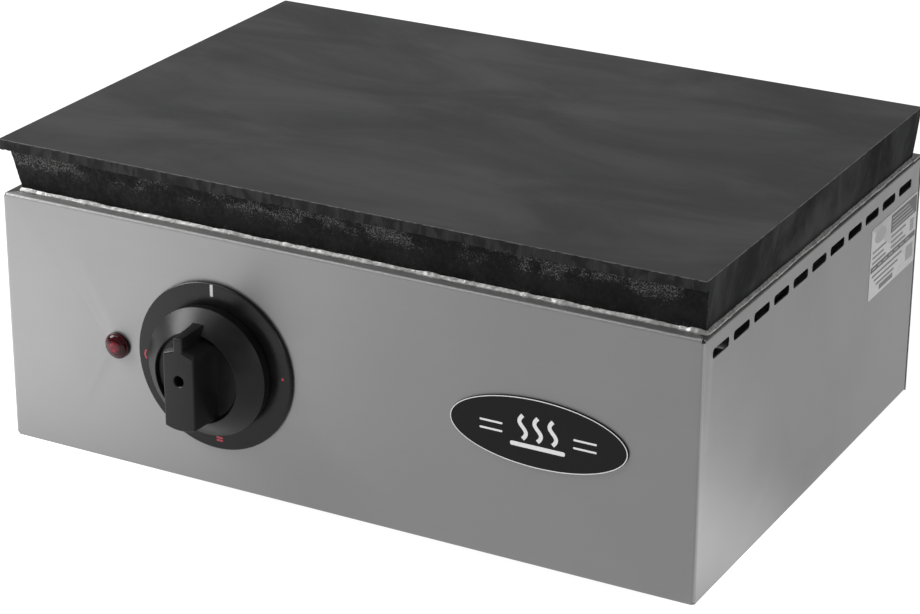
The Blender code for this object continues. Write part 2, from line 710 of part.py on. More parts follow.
def build_plate():
    lip_bottom = PLATE_HEIGHT - LIP_HEIGHT
    outlines = [
        plate_outline(0, LIP_STEP + PLATE_DRAFT),
        plate_outline(lip_bottom - LIP_UNDERCUT, LIP_STEP),
        plate_outline(lip_bottom, 0),
        plate_outline(PLATE_HEIGHT, 0),
    ]
    plate = add_piece("hot_plate", loft("hot_plate", outlines), CAST_IRON)
    pockets = [
        (
            (x - POCKET_WIDTH / 2, PLATE_MIDDLE - POCKET_LENGTH / 2, PLATE_BOTTOM - OVERRUN),
            (x + POCKET_WIDTH / 2, PLATE_MIDDLE + POCKET_LENGTH / 2, PLATE_BOTTOM + POCKET_DEPTH),
        )
        for x in pocket_centres()
    ]
    cut(plate, "plate_pockets", boxes("plate_pockets", pockets))
    hole_length = 2 * (STUD_IN_PLATE + GAP)
    centres = [(x, y, PLATE_BOTTOM) for x, y in stud_places()]
    cut(plate, "stud_holes", rods("stud_holes", centres, STUD_RADIUS + GAP, hole_length, sides=20))
    stud_low = RAIL_TOP - RAIL_SHEET - STUD_BELOW_RAIL
    stud_high = PLATE_BOTTOM + STUD_IN_PLATE
    nut_middle = RAIL_TOP - RAIL_SHEET - GAP - STUD_NUT_HEIGHT / 2
    across = hex_radius(STUD_NUT_ACROSS)
    centre = [(0, 0, 0)]
    for number, (x, y) in enumerate(stud_places(), 1):
        name = f"plate_stud_{number}"
        stud = add_piece(name, rods(name, centre, STUD_RADIUS, stud_high - stud_low, sides=14), ZINC)
        stud.location = (x, y, (stud_high + stud_low) / 2)
        name = f"plate_nut_{number}"
        nut = add_piece(name, rods(name, centre, across, STUD_NUT_HEIGHT, sides=6), ZINC)
        nut.location = (x, y, nut_middle)
        name = f"plate_nut_bore_{number}"
        cut(nut, name, rods(name, centre, STUD_RADIUS + GAP, 2 * STUD_NUT_HEIGHT), nut)


def grown(outline, margin, z):
    """A rectangle's corners moved outwards, at another height."""
    signs = ((-1, -1), (1, -1), (1, 1), (-1, 1))
    return [(x + sx * margin, y + sy * margin, z) for (x, y, _), (sx, sy) in zip(outline, signs)]


def build_seal():
    """The bead of sealant around the foot of the plate, on the casing's flanges."""
    low = TOP + GAP
    high = PLATE_BOTTOM + SEAL_HEIGHT
    slope = PLATE_DRAFT / (PLATE_HEIGHT - LIP_HEIGHT)
    step = LIP_STEP + PLATE_DRAFT - slope * SEAL_HEIGHT
    touch = plate_outline(SEAL_HEIGHT, step)
    seal = add_piece(
        "plate_seal",
        loft("plate_seal", [grown(touch, SEAL_WIDTH, low), grown(touch, SEAL_TOP_WIDTH, high)]),
        SEALANT,
    )
    inside = [grown(touch, GAP, z) for z in (low - OVERRUN, high + OVERRUN)]
    cut(seal, "seal_inside", loft("seal_inside", inside))
    rear_flange = (
        (LEFT - OVERRUN, REAR - REAR_TOP_FLANGE - GAP, TOP - OVERRUN),
        (RIGHT + OVERRUN, REAR + OVERRUN, REAR_FLANGE_TOP + GAP),
    )
    cut(seal, "seal_over_rear_flange", boxes("seal_over_rear_flange", [rear_flange]))


def tail_places():
    """The two ends of each heating element, in pairs."""
    half = (ELEMENT_LEGS - 1) / 2 * LEG_PITCH
    return [((x - half, TAIL_Y), (x + half, TAIL_Y)) for x in pocket_centres()]


def element_tail(x):
    """Up from the tail's end and round into the first leg."""
    bend_steps = 3
    points = [(x, TAIL_Y, TAIL_END)]
    for step in range(bend_steps + 1):
        angle = math.pi / 2 * step / bend_steps
        y = LEG_FRONT - ELEMENT_TAIL_BEND * math.cos(angle)
        z = LEG_LEVEL - ELEMENT_TAIL_BEND + ELEMENT_TAIL_BEND * math.sin(angle)
        points.append((x, y, z))
    return points


def element_route(middle_x):
    """Up the left tail, through the legs and their round turns, and down the right tail."""
    turn_steps = 4
    radius = LEG_PITCH / 2
    first_x = middle_x - (ELEMENT_LEGS - 1) * radius
    last_x = middle_x + (ELEMENT_LEGS - 1) * radius
    points = element_tail(first_x)
    for leg in range(ELEMENT_LEGS - 1):
        turn_x = first_x + (2 * leg + 1) * radius
        outward = 1 if leg % 2 == 0 else -1
        end_y = LEG_REAR if outward > 0 else LEG_FRONT
        for step in range(turn_steps + 1):
            angle = math.pi * step / turn_steps
            x = turn_x - radius * math.cos(angle)
            points.append((x, end_y + outward * radius * math.sin(angle), LEG_LEVEL))
    points.extend(element_tail(last_x)[::-1])
    return points


def build_heat_pack():
    for number, middle_x in enumerate(pocket_centres(), 1):
        name = f"heating_element_{number}"
        add_tube(name, element_route(middle_x), ELEMENT_RADIUS, ELEMENT_STEEL, resolution=2)
    layers = (
        ("element_cover", 0, COVER_TOP - COVER_SHEET, COVER_TOP, GALVANISED),
        ("insulation_mat", MAT_INSET, MAT_TOP - MAT_THICKNESS, MAT_TOP, MINERAL_WOOL),
        ("heat_shield", 0, SHIELD_BOTTOM, SHIELD_TOP + SHIELD_WALL, GALVANISED),
    )
    centres = [(x, y, (COVER_TOP + SHIELD_BOTTOM) / 2) for pair in tail_places() for x, y in pair]
    through = COVER_TOP - SHIELD_BOTTOM + 2 * OVERRUN
    for name, inset, low, high, material in layers:
        layer = add_piece(name, boxes(name, [pack_box(inset, low, high)]), material)
        if name == "heat_shield":
            inside = pack_box(SHIELD_SHEET, SHIELD_TOP, SHIELD_TOP + SHIELD_WALL + OVERRUN)
            cut(layer, "shield_inside", boxes("shield_inside", [inside]))
        holes = rods(name + "_holes", centres, ELEMENT_RADIUS + ELEMENT_HOLE_MARGIN, through, sides=10)
        cut(layer, name + "_holes", holes)


def pack_box(inset, low, high):
    return (
        (-PACK_HALF_X + inset, PLATE_MIDDLE - PACK_HALF_Y + inset, low),
        (PACK_HALF_X - inset, PLATE_MIDDLE + PACK_HALF_Y - inset, high),
    )


def build_rails():
    """Two folded rails under the casing's flanges carry the plate's studs and the heat shield."""
    low_y = FRONT + SHEET + RAIL_END_GAP
    high_y = SHELL_REAR - SHEET - RAIL_END_GAP
    low_z = RAIL_LEDGE_TOP - RAIL_SHEET
    web_inner = RAIL_WEB - RAIL_SHEET
    section = [
        (RAIL_OUTER, RAIL_TOP),
        (web_inner, RAIL_TOP),
        (web_inner, RAIL_LEDGE_TOP),
        (RAIL_WEB - RAIL_LEDGE, RAIL_LEDGE_TOP),
        (RAIL_WEB - RAIL_LEDGE, low_z),
        (RAIL_WEB, low_z),
        (RAIL_WEB, RAIL_TOP - RAIL_SHEET),
        (RAIL_OUTER, RAIL_TOP - RAIL_SHEET),
    ]
    for name, side in (("support_rail_left", -1), ("support_rail_right", 1)):
        ends = [[(side * x, y, z) for x, z in section] for y in (low_y, high_y)]
        rail = add_piece(name, loft(name, ends), GALVANISED)
        places = [(x, y, RAIL_TOP) for x, y in stud_places() if x * side > 0]
        holes = rods(f"{name}_holes", places, STUD_RADIUS + GAP, 2 * RAIL_SHEET + 2 * OVERRUN)
        cut(rail, f"{name}_holes", holes)


# ================================================================ knob, bezel and switch
def grip_outline(width, below, above, nib, height):
    """The grip bar's outline: a round lower end, square shoulders and a narrow nib on top."""
    reach = math.asin(width / 2 / GRIP_END_RADIUS)
    centre = -below + GRIP_END_RADIUS
    steps = 6
    points = []
    for step in range(steps + 1):
        angle = -reach + 2 * reach * step / steps
        y = centre - GRIP_END_RADIUS * math.cos(angle)
        points.append((GRIP_END_RADIUS * math.sin(angle), y, height))
    points.append((width / 2, above, height))
    points.append((NIB_WIDTH / 2, above, height))
    points.append((NIB_WIDTH / 2, nib, height))
    points.append((-NIB_WIDTH / 2, nib, height))
    points.append((-NIB_WIDTH / 2, above, height))
    points.append((-width / 2, above, height))
    return points


def build_knob(axis):
    inner = SKIRT_RADIUS - SKIRT_WALL
    ceiling = DISH_FLOOR - SKIRT_WALL
    profile = [
        (0, DISH_FLOOR),
        (DISH_RIM_RADIUS - DISH_LEAN, DISH_FLOOR),
        (DISH_RIM_RADIUS, DISH_RIM),
        (SKIRT_RADIUS, SKIRT_EDGE),
        (SKIRT_BACK_RADIUS, KNOB_BACK),
        (SKIRT_BACK_RADIUS - SKIRT_WALL, KNOB_BACK),
        (inner, SKIRT_EDGE - SKIRT_WALL / 2),
        (DISH_RIM_RADIUS, ceiling),
        (0, ceiling),
    ]
    knob = add_turned("knob", profile, BLACK_PLASTIC, axis, sides=40)
    foot = (DISH_FLOOR + ceiling) / 2
    foot_sizes = [size + GRIP_FLARE for size in (GRIP_BELOW, GRIP_ABOVE, NIB_REACH)]
    foot_outline = grip_outline(GRIP_FOOT_WIDTH, *foot_sizes, foot)
    front_outline = grip_outline(GRIP_WIDTH, GRIP_BELOW, GRIP_ABOVE, NIB_REACH, KNOB_REACH)
    join(knob, "knob_grip", loft("knob_grip", [foot_outline, front_outline]), axis)
    hollow = (
        (-GRIP_WIDTH / 2 + GRIP_WALL, -GRIP_BELOW + 2 * GRIP_WALL, KNOB_BACK),
        (GRIP_WIDTH / 2 - GRIP_WALL, GRIP_ABOVE - GRIP_WALL, KNOB_REACH - GRIP_WALL),
    )
    cut(knob, "knob_grip_hollow", boxes("knob_grip_hollow", [hollow]), axis)
    hub_low = KNOB_BACK + SWITCH_SCREW_HEAD_HEIGHT
    hub_high = KNOB_REACH - GRIP_WALL / 2
    hub = rods("knob_hub", [(0, 0, (hub_low + hub_high) / 2)], HUB_RADIUS, hub_high - hub_low)
    join(knob, "knob_hub", hub, axis)
    bore_high = KNOB_BACK + SHAFT_IN_KNOB + GAP
    bore_low = hub_low - OVERRUN
    bore = rods("knob_bore", [(0, 0, (bore_low + bore_high) / 2)], SHAFT_RADIUS + GAP, bore_high - bore_low)
    cut(knob, "knob_bore", bore, axis)
    dimple_place = [(0, DIMPLE_ABOVE_AXIS, KNOB_REACH)]
    cut(knob, "knob_dimple", rods("knob_dimple", dimple_place, DIMPLE_RADIUS, 2 * DIMPLE_DEPTH), axis)


def build_bezel(axis):
    profile = [
        (SHAFT_HOLE_RADIUS, BEZEL_FACE),
        (BEZEL_RADIUS - BEZEL_CHAMFER, BEZEL_FACE),
        (BEZEL_RADIUS, BEZEL_EDGE),
        (BEZEL_RADIUS, GAP),
        (SHAFT_HOLE_RADIUS, GAP),
    ]
    bezel = add_turned("knob_bezel", profile, BLACK_PLASTIC, axis, sides=40, closed=True)
    places = [(side * SWITCH_SCREW_OFFSET, side * SWITCH_SCREW_OFFSET, BEZEL_FACE / 2) for side in (-1, 1)]
    holes = rods("bezel_screw_holes", places, SWITCH_SCREW_RADIUS + GAP, 2 * BEZEL_FACE, sides=12)
    cut(bezel, "bezel_screw_holes", holes, axis)
    length = BEZEL_FACE - BEHIND_PANEL + SWITCH_FRONT_WALL - 2 * GAP
    for number, (x, y, _) in enumerate(places, 1):
        screw = add_turned(
            f"switch_screw_{number}",
            pan_head_profile(SWITCH_SCREW_RADIUS, SWITCH_SCREW_HEAD, SWITCH_SCREW_HEAD_HEIGHT, length),
            ZINC,
            axis,
            sides=10,
        )
        screw.location = (x, y, BEZEL_FACE)


def build_switch(axis):
    half = SWITCH_SIZE / 2
    front = BEHIND_PANEL
    rear = front - SWITCH_DEPTH
    housing = add_piece(
        "switch_housing",
        boxes("switch_housing", [((-half, -half, rear), (half, half, front))]),
        BAKELITE,
        axis,
    )
    hollow_half = half - SWITCH_WALL
    hollow_top = front - SWITCH_FRONT_WALL
    hollow = ((-hollow_half, -hollow_half, rear - OVERRUN), (hollow_half, hollow_half, hollow_top))
    cut(housing, "switch_hollow", boxes("switch_hollow", [hollow]), axis)
    wall_middle = front - SWITCH_FRONT_WALL / 2
    wall_hole = SWITCH_FRONT_WALL + 2 * OVERRUN
    shaft_hole = rods("switch_shaft_hole", [(0, 0, wall_middle)], SHAFT_RADIUS + GAP, wall_hole)
    cut(housing, "switch_shaft_hole", shaft_hole, axis)
    places = [(side * SWITCH_SCREW_OFFSET, side * SWITCH_SCREW_OFFSET, wall_middle) for side in (-1, 1)]
    screw_holes = rods("housing_screw_holes", places, SWITCH_SCREW_RADIUS + GAP, wall_hole, sides=12)
    cut(housing, "housing_screw_holes", screw_holes, axis)

    cover_high = rear - GAP
    cover_low = cover_high - SWITCH_COVER
    cover = add_piece(
        "switch_cover",
        boxes("switch_cover", [((-half, -half, cover_low), (half, half, cover_high))]),
        BAKELITE,
        axis,
    )
    thickness, width, reach = SWITCH_TAB
    for number, (x, y) in enumerate((*SWITCH_ELEMENT_TABS, SWITCH_LIVE_TAB), 1):
        tab = (
            (x - thickness / 2, y - width / 2, cover_low - reach),
            (x + thickness / 2, y + width / 2, cover_low + SWITCH_COVER / 2),
        )
        join(cover, f"switch_tab_{number}", boxes(f"switch_tab_{number}", [tab]), axis)

    cam_middle = (hollow_top + rear) / 2
    shaft_high = KNOB_BACK + SHAFT_IN_KNOB
    shaft_low = cam_middle - CAM_THICKNESS / 2 - SHAFT_BEHIND_CAM
    shaft_place = [(0, 0, (shaft_high + shaft_low) / 2)]
    shaft = rods("switch_shaft", shaft_place, SHAFT_RADIUS, shaft_high - shaft_low)
    shaft = add_piece("switch_shaft", shaft, BRASS, axis)
    flat = (
        (SHAFT_RADIUS - SHAFT_FLAT_CUT, -2 * SHAFT_RADIUS, KNOB_BACK),
        (2 * SHAFT_RADIUS, 2 * SHAFT_RADIUS, shaft_high + OVERRUN),
    )
    cut(shaft, "shaft_flat", boxes("shaft_flat", [flat]), axis)
    drum = rods("switch_cam", [(0, 0, cam_middle)], CAM_RADIUS, CAM_THICKNESS, sides=32)
    cam = add_piece("switch_cam", drum, BAKELITE, axis)
    through = CAM_THICKNESS + 2 * OVERRUN
    cut(cam, "cam_bore", rods("cam_bore", [(0, 0, cam_middle)], SHAFT_RADIUS + GAP, through), axis)
    notches = []
    for notch in range(CAM_NOTCHES):
        angle = 2 * math.pi * notch / CAM_NOTCHES
        notches.append((CAM_RADIUS * math.cos(angle), CAM_RADIUS * math.sin(angle), cam_middle))
    cut(cam, "cam_notches", rods("cam_notches", notches, CAM_NOTCH_RADIUS, through, sides=16), axis)


# ================================================================ lamp, badge and label
def build_lamp(axis):
    steps = 4
    profile = []
    for step in range(steps + 1):
        angle = math.pi / 2 * (1 - step / steps)
        radius = (LENS_RADIUS - 0.0002) * math.cos(angle)
        profile.append((radius if step else 0, GAP + LENS_RIM + LENS_DOME * math.sin(angle)))
    profile += [
        (LENS_RADIUS, GAP),
        (LAMP_THREAD_RADIUS + GAP, GAP),
        (LAMP_THREAD_RADIUS + GAP, GAP + LENS_HOLLOW),
        (0, GAP + LENS_HOLLOW),
    ]
    add_turned("indicator_lens", profile, RED_LENS, axis, sides=20)
    body_high = LENS_HOLLOW
    body_low = body_high - LAMP_BODY_LENGTH
    body_place = [(0, 0, (body_high + body_low) / 2)]
    body = rods("indicator_body", body_place, LAMP_THREAD_RADIUS, LAMP_BODY_LENGTH)
    body = add_piece("indicator_body", body, BLACK_PLASTIC, axis)
    thickness, width, reach = LAMP_TAB
    for name, x in (("lamp_tab_left", -LAMP_TAB_OFFSET), ("lamp_tab_right", LAMP_TAB_OFFSET)):
        tab = (
            (x - thickness / 2, -width / 2, body_low - reach),
            (x + thickness / 2, width / 2, body_low + OVERRUN),
        )
        join(body, name, boxes(name, [tab]), axis)
    middle = BEHIND_PANEL - LAMP_NUT_HEIGHT / 2
    nut = rods("indicator_nut", [(0, 0, middle)], hex_radius(LAMP_NUT_ACROSS), LAMP_NUT_HEIGHT, sides=6)
    nut = add_piece("indicator_nut", nut, BLACK_PLASTIC, axis)
    bore = rods("lamp_nut_bore", [(0, 0, middle)], LAMP_THREAD_RADIUS + GAP, 2 * LAMP_NUT_HEIGHT)
    cut(nut, "lamp_nut_bore", bore, axis)


def build_badge():
    disc = rods("badge", [(0, 0, BADGE_THICKNESS / 2)], 0.5, BADGE_THICKNESS, sides=48)
    badge = add_piece("badge", disc, BADGE_BLACK)
    for vertex in badge.data.vertices:
        vertex.co.x *= BADGE_SIZE[0]
        vertex.co.y *= BADGE_SIZE[1]
    badge.location = (RIGHT - BADGE_FROM_RIGHT, FRONT - GAP, TOP - BADGE_BELOW_TOP)
    badge.rotation_euler = (math.pi / 2, 0, 0)


def build_label():
    high_y = REAR - LABEL_FROM_REAR
    high_z = TOP - LABEL_BELOW_TOP
    corners = (
        (RIGHT + GAP, high_y - LABEL_SIZE[0], high_z - LABEL_SIZE[1]),
        (RIGHT + GAP + LABEL_THICKNESS, high_y, high_z),
    )
    add_piece("rating_label", boxes("rating_label", [corners]), LABEL_FILM)


# ================================================================ gland, earth stud and wiring
def build_gland():
    axis = add_axis("gland_axis", (GLAND_X, REAR, GLAND_Z), "+Y")
    dome = GLAND_BORE + GLAND_DOME_WALL
    mouth = GLAND_BORE + GLAND_MOUTH_WALL
    inside_flange = GAP + GLAND_FLANGE_HEIGHT / 2
    profile = [(0, GLAND_REACH), (mouth - 0.001, GLAND_REACH)]
    steps = 3
    for step in range(steps + 1):
        angle = math.pi / 2 * step / steps
        height = GLAND_CYLINDER + (GLAND_REACH - 0.001 - GLAND_CYLINDER) * math.cos(angle)
        profile.append((mouth + (dome - mouth) * math.sin(angle), height))
    profile += [
        (dome, inside_flange),
        (GLAND_THREAD_RADIUS, inside_flange),
        (GLAND_THREAD_RADIUS, -GLAND_THREAD_LENGTH),
        (0, -GLAND_THREAD_LENGTH),
    ]
    gland = add_turned("cable_gland", profile, BLACK_PLASTIC, axis, sides=20)
    across = hex_radius(GLAND_ACROSS)
    flange = rods("gland_flange", [(0, 0, inside_flange)], across, GLAND_FLANGE_HEIGHT, sides=6)
    join(gland, "gland_flange", flange, axis)
    length = GLAND_REACH + GLAND_THREAD_LENGTH + 2 * OVERRUN
    centre = (GLAND_REACH - GLAND_THREAD_LENGTH) / 2
    cut(gland, "gland_bore", rods("gland_bore", [(0, 0, centre)], GLAND_BORE, length), axis)
    middle = BEHIND_PANEL - GLAND_NUT_HEIGHT / 2
    nut = rods("gland_nut", [(0, 0, middle)], across, GLAND_NUT_HEIGHT, sides=6)
    nut = add_piece("gland_nut", nut, BLACK_PLASTIC, axis)
    bore = rods("gland_nut_bore", [(0, 0, middle)], GLAND_THREAD_RADIUS + GAP, 2 * GLAND_NUT_HEIGHT)
    cut(nut, "gland_nut_bore", bore, axis)


def build_earth():
    axis = add_axis("earth_axis", (EARTH_X, REAR, GLAND_Z), "+Y")
    head = rods(
        "earth_stud",
        [(0, 0, BEHIND_PANEL - EARTH_HEAD_HEIGHT / 2)],
        hex_radius(EARTH_ACROSS),
        EARTH_HEAD_HEIGHT,
        sides=6,
    )
    stud = add_piece("earth_stud", head, BRASS, axis)
    low = BEHIND_PANEL - EARTH_HEAD_HEIGHT / 2
    shank = rods("earth_shank", [(0, 0, (EARTH_REACH + low) / 2)], EARTH_RADIUS, EARTH_REACH - low)
    join(stud, "earth_shank", shank, axis)
    middle = GAP + EARTH_NUT_HEIGHT / 2
    nut = rods("earth_nut", [(0, 0, middle)], hex_radius(EARTH_ACROSS), EARTH_NUT_HEIGHT, sides=6)
    nut = add_piece("earth_nut", nut, BRASS, axis)
    bore = rods("earth_nut_bore", [(0, 0, middle)], EARTH_RADIUS + GAP, 2 * EARTH_NUT_HEIGHT)
    cut(nut, "earth_nut_bore", bore, axis)


def terminal_middle():
    return Vector((GLAND_X, REAR - TERMINAL_FROM_REAR, BASE_TOP + GAP + TERMINAL_HEIGHT / 2))


def pole_offsets():
    return [(i - (TERMINAL_POLES - 1) / 2) * TERMINAL_POLE_PITCH for i in range(TERMINAL_POLES)]


def build_terminal_block():
    half = Vector((TERMINAL_WIDTH, TERMINAL_DEPTH, TERMINAL_HEIGHT)) / 2
    block = add_piece("terminal_block", boxes("terminal_block", [(-half, half)]), CERAMIC)
    block.location = terminal_middle()
    wire_holes = [(offset, 0, 0) for offset in pole_offsets()]
    bores = rods("terminal_bores", wire_holes, TERMINAL_BORE, TERMINAL_DEPTH + 2 * OVERRUN, "Y", sides=12)
    cut(block, "terminal_bores", bores, block)
    screw_holes = [(offset, side * half.y / 2, half.z) for offset in pole_offsets() for side in (-1, 1)]
    screw_depth = 2 * TERMINAL_SCREW_DEPTH
    screws = rods("terminal_screw_bores", screw_holes, TERMINAL_SCREW_BORE, screw_depth, sides=8)
    cut(block, "terminal_screw_bores", screws, block)


def build_bus_bar():
    """A strip behind the tails that joins the right-hand tails of the heating elements."""
    right_tails = [pair[1] for pair in tail_places()]
    left_tails = [pair[0] for pair in tail_places()]
    low_z = BUS_BAR_LOW
    high_z = low_z + BUS_BAR_THICKNESS
    around = ELEMENT_RADIUS + BUS_BAR_MARGIN
    low = (right_tails[0][0] - around, TAIL_Y - around, low_z)
    high = (right_tails[-1][0] + around, TAIL_Y + around + BUS_BAR_SPINE, high_z)
    bar = add_piece("bus_bar", boxes("bus_bar", [(low, high)]), BRASS)
    hole_places = [(x, y, low_z) for x, y in right_tails]
    holes = rods("bus_bar_holes", hole_places, ELEMENT_RADIUS + GAP, 4 * OVERRUN, sides=16)
    cut(bar, "bus_bar_holes", holes)
    notches = [
        ((x - around, low[1] - OVERRUN, low_z - OVERRUN), (x + around, TAIL_Y + around, high_z + OVERRUN))
        for x, _ in left_tails
        if low[0] < x < high[0]
    ]
    cut(bar, "bus_bar_notches", boxes("bus_bar_notches", notches))


def build_wiring():
    """Each wire stops just short of the terminals that it joins."""
    hang = WIRE_STRAIGHT
    short = WIRE_RADIUS + GAP
    tab_y = FRONT - BEHIND_PANEL + SWITCH_DEPTH + GAP + SWITCH_COVER + SWITCH_TAB[2] + short
    tails = [pair[0] for pair in tail_places()]
    for number, ((x, y), (tab_x, tab_z)) in enumerate(zip(tails, SWITCH_ELEMENT_TABS), 1):
        start = Vector((KNOB_X + tab_x, tab_y, KNOB_Z + tab_z))
        end = Vector((x, y, TAIL_END - short))
        route = [
            start,
            start + Vector((0, hang, 0)),
            start.lerp(end, 0.45) + Vector((0, 2 * hang, -hang / 3)),
            end + Vector((0, hang / 2, -2 * hang)),
            end + Vector((0, 0, -hang / 2)),
            end,
        ]
        add_tube(f"element_wire_{number}", smooth_route(route), WIRE_RADIUS, WIRE_SLEEVE)

    block_front = terminal_middle() - Vector((0, TERMINAL_DEPTH / 2 + short, 0))
    start = block_front + Vector((pole_offsets()[0], 0, 0))
    end = Vector((KNOB_X + SWITCH_LIVE_TAB[0], tab_y, KNOB_Z + SWITCH_LIVE_TAB[1]))
    floor = BASE_TOP + 4 * WIRE_RADIUS
    route = [
        start,
        start + Vector((0, -hang, 0)),
        Vector(((start.x * 3 + end.x) / 4, start.y - 5 * hang, floor)),
        Vector(((start.x + 3 * end.x) / 4, end.y + 6 * hang, floor)),
        end + Vector((0, 2 * hang, -hang)),
        end + Vector((0, hang / 2, 0)),
        end,
    ]
    add_tube("live_wire", smooth_route(route), WIRE_RADIUS, WIRE_BROWN)

    start = block_front + Vector((pole_offsets()[1], 0, 0))
    bar_x = tail_places()[-1][1][0] + ELEMENT_RADIUS + BUS_BAR_MARGIN + short
    end = Vector((bar_x, TAIL_Y, BUS_BAR_LOW + BUS_BAR_THICKNESS / 2))
    route = [
        start,
        start + Vector((0, -hang, 0)),
        start.lerp(end, 0.4) + Vector((hang, 0, -hang)),
        end + Vector((hang, 2 * hang, -2 * hang)),
        end + Vector((hang / 2, hang / 4, -hang / 4)),
        end,
    ]
    add_tube("neutral_wire", smooth_route(route), WIRE_RADIUS, WIRE_BLUE)

    lamp_end = FRONT - LENS_HOLLOW + LAMP_BODY_LENGTH + LAMP_TAB[2] + short
    start = Vector((LAMP_X, lamp_end, LAMP_Z))
    beside_tab = SWITCH_TAB[0] / 2 + 2 * WIRE_RADIUS
    end = Vector((KNOB_X + SWITCH_LIVE_TAB[0] - beside_tab, tab_y - short - SWITCH_TAB[2] / 2, start.z))
    end.z = KNOB_Z + SWITCH_LIVE_TAB[1]
    route = [
        start,
        start + Vector((0, hang, -hang / 4)),
        start.lerp(end, 0.4) + Vector((0, 3 * hang, -hang)),
        end + Vector((-hang, hang, -hang / 2)),
        end + Vector((-hang / 3, hang / 3, 0)),
        end,
    ]
    add_tube("lamp_wire", smooth_route(route), WIRE_RADIUS * 0.75, WIRE_SLEEVE)


def build_all():
    build_casing()
    build_rear_panel()
    build_base()
    build_plate()
    build_seal()
    build_heat_pack()
    build_rails()
    knob_axis = add_axis("knob_axis", (KNOB_X, FRONT, KNOB_Z), "-Y")
    build_bezel(knob_axis)
    build_switch(knob_axis)
    build_knob(knob_axis)
    build_lamp(add_axis("lamp_axis", (LAMP_X, FRONT, LAMP_Z), "-Y"))
    build_badge()
    build_label()
    build_gland()
    build_earth()
    build_terminal_block()
    build_bus_bar()
    build_wiring()


clear_scene()
PIECES = make_collection("hot_plate_burner")
HELPERS = make_collection("cutters")
STAINLESS = make_material("brushed_stainless", (0.62, 0.62, 0.62), 0.35, 1)
GALVANISED = make_material("galvanised_sheet", (0.52, 0.53, 0.54), 0.45, 1)
ZINC = make_material("zinc_plating", (0.60, 0.60, 0.58), 0.35, 1)
CAST_IRON = make_material("cast_iron", (0.075, 0.075, 0.075), 0.5, 0.6)
SEALANT = make_material("heatproof_sealant", (0.60, 0.60, 0.58), 0.5, 0)
ELEMENT_STEEL = make_material("element_sheath", (0.16, 0.15, 0.14), 0.5, 1)
MINERAL_WOOL = make_material("mineral_wool", (0.55, 0.50, 0.38), 0.95, 0)
BLACK_PLASTIC = make_material("black_plastic", (0.022, 0.022, 0.022), 0.42, 0)
BAKELITE = make_material("switch_moulding", (0.10, 0.055, 0.035), 0.5, 0)
BRASS = make_material("brass", (0.72, 0.53, 0.24), 0.35, 1)
RED_LENS = make_material("red_lens", (0.35, 0.01, 0.015), 0.15, 0)
BADGE_BLACK = make_material("badge_enamel", (0.015, 0.015, 0.015), 0.3, 0)
LABEL_FILM = make_material("label_film", (0.62, 0.62, 0.62), 0.5, 0)
RUBBER = make_material("foot_rubber", (0.02, 0.02, 0.02), 0.8, 0)
CERAMIC = make_material("terminal_ceramic", (0.78, 0.76, 0.70), 0.4, 0)
WIRE_SLEEVE = make_material("glass_sleeve", (0.70, 0.68, 0.62), 0.7, 0)
WIRE_BROWN = make_material("brown_insulation", (0.15, 0.06, 0.03), 0.5, 0)
WIRE_BLUE = make_material("blue_insulation", (0.03, 0.12, 0.40), 0.5, 0)
build_all()
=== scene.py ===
"""Finished surfaces of a table-top hot plate burner, built round its solid frame.

An iron cooking plate on a folded stainless casing, with a rotary heat knob, a red lamp, an oval badge
and a rating label. Metres, +Z up, front to -Y.
"""

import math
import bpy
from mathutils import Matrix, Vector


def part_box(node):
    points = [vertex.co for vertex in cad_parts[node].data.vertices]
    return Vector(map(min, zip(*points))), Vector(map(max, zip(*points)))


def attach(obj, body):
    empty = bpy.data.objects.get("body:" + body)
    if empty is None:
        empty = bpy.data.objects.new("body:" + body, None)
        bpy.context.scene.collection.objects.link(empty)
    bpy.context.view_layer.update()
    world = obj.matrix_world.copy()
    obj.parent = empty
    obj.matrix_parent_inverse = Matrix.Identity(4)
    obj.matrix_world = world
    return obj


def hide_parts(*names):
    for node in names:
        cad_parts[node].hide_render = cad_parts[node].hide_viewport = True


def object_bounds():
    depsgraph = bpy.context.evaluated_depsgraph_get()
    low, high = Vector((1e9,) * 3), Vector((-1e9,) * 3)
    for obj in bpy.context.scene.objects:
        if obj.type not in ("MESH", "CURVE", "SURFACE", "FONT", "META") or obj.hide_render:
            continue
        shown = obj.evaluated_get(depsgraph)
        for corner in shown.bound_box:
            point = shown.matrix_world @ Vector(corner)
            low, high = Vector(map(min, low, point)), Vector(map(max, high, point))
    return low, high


bl_info = {
    "name": "Hot plate burner",
    "version": (1, 0, 0),
    "blender": (4, 5, 0),
    "location": "3D View > Sidebar > Hot plate",
    "description": "Builds the finished surfaces and the studio of an iron hot plate burner",
    "category": "Add Mesh",
}

import bmesh
import bpy
import numpy as np
from bpy.props import FloatProperty, FloatVectorProperty, IntProperty, PointerProperty
from mathutils import Matrix, Vector, noise

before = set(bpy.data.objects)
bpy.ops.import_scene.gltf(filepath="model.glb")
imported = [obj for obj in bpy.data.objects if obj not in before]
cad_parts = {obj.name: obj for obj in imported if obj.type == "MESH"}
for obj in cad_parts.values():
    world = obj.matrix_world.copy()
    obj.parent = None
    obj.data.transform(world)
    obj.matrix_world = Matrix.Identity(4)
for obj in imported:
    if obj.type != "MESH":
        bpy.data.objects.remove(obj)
CAD_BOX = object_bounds()

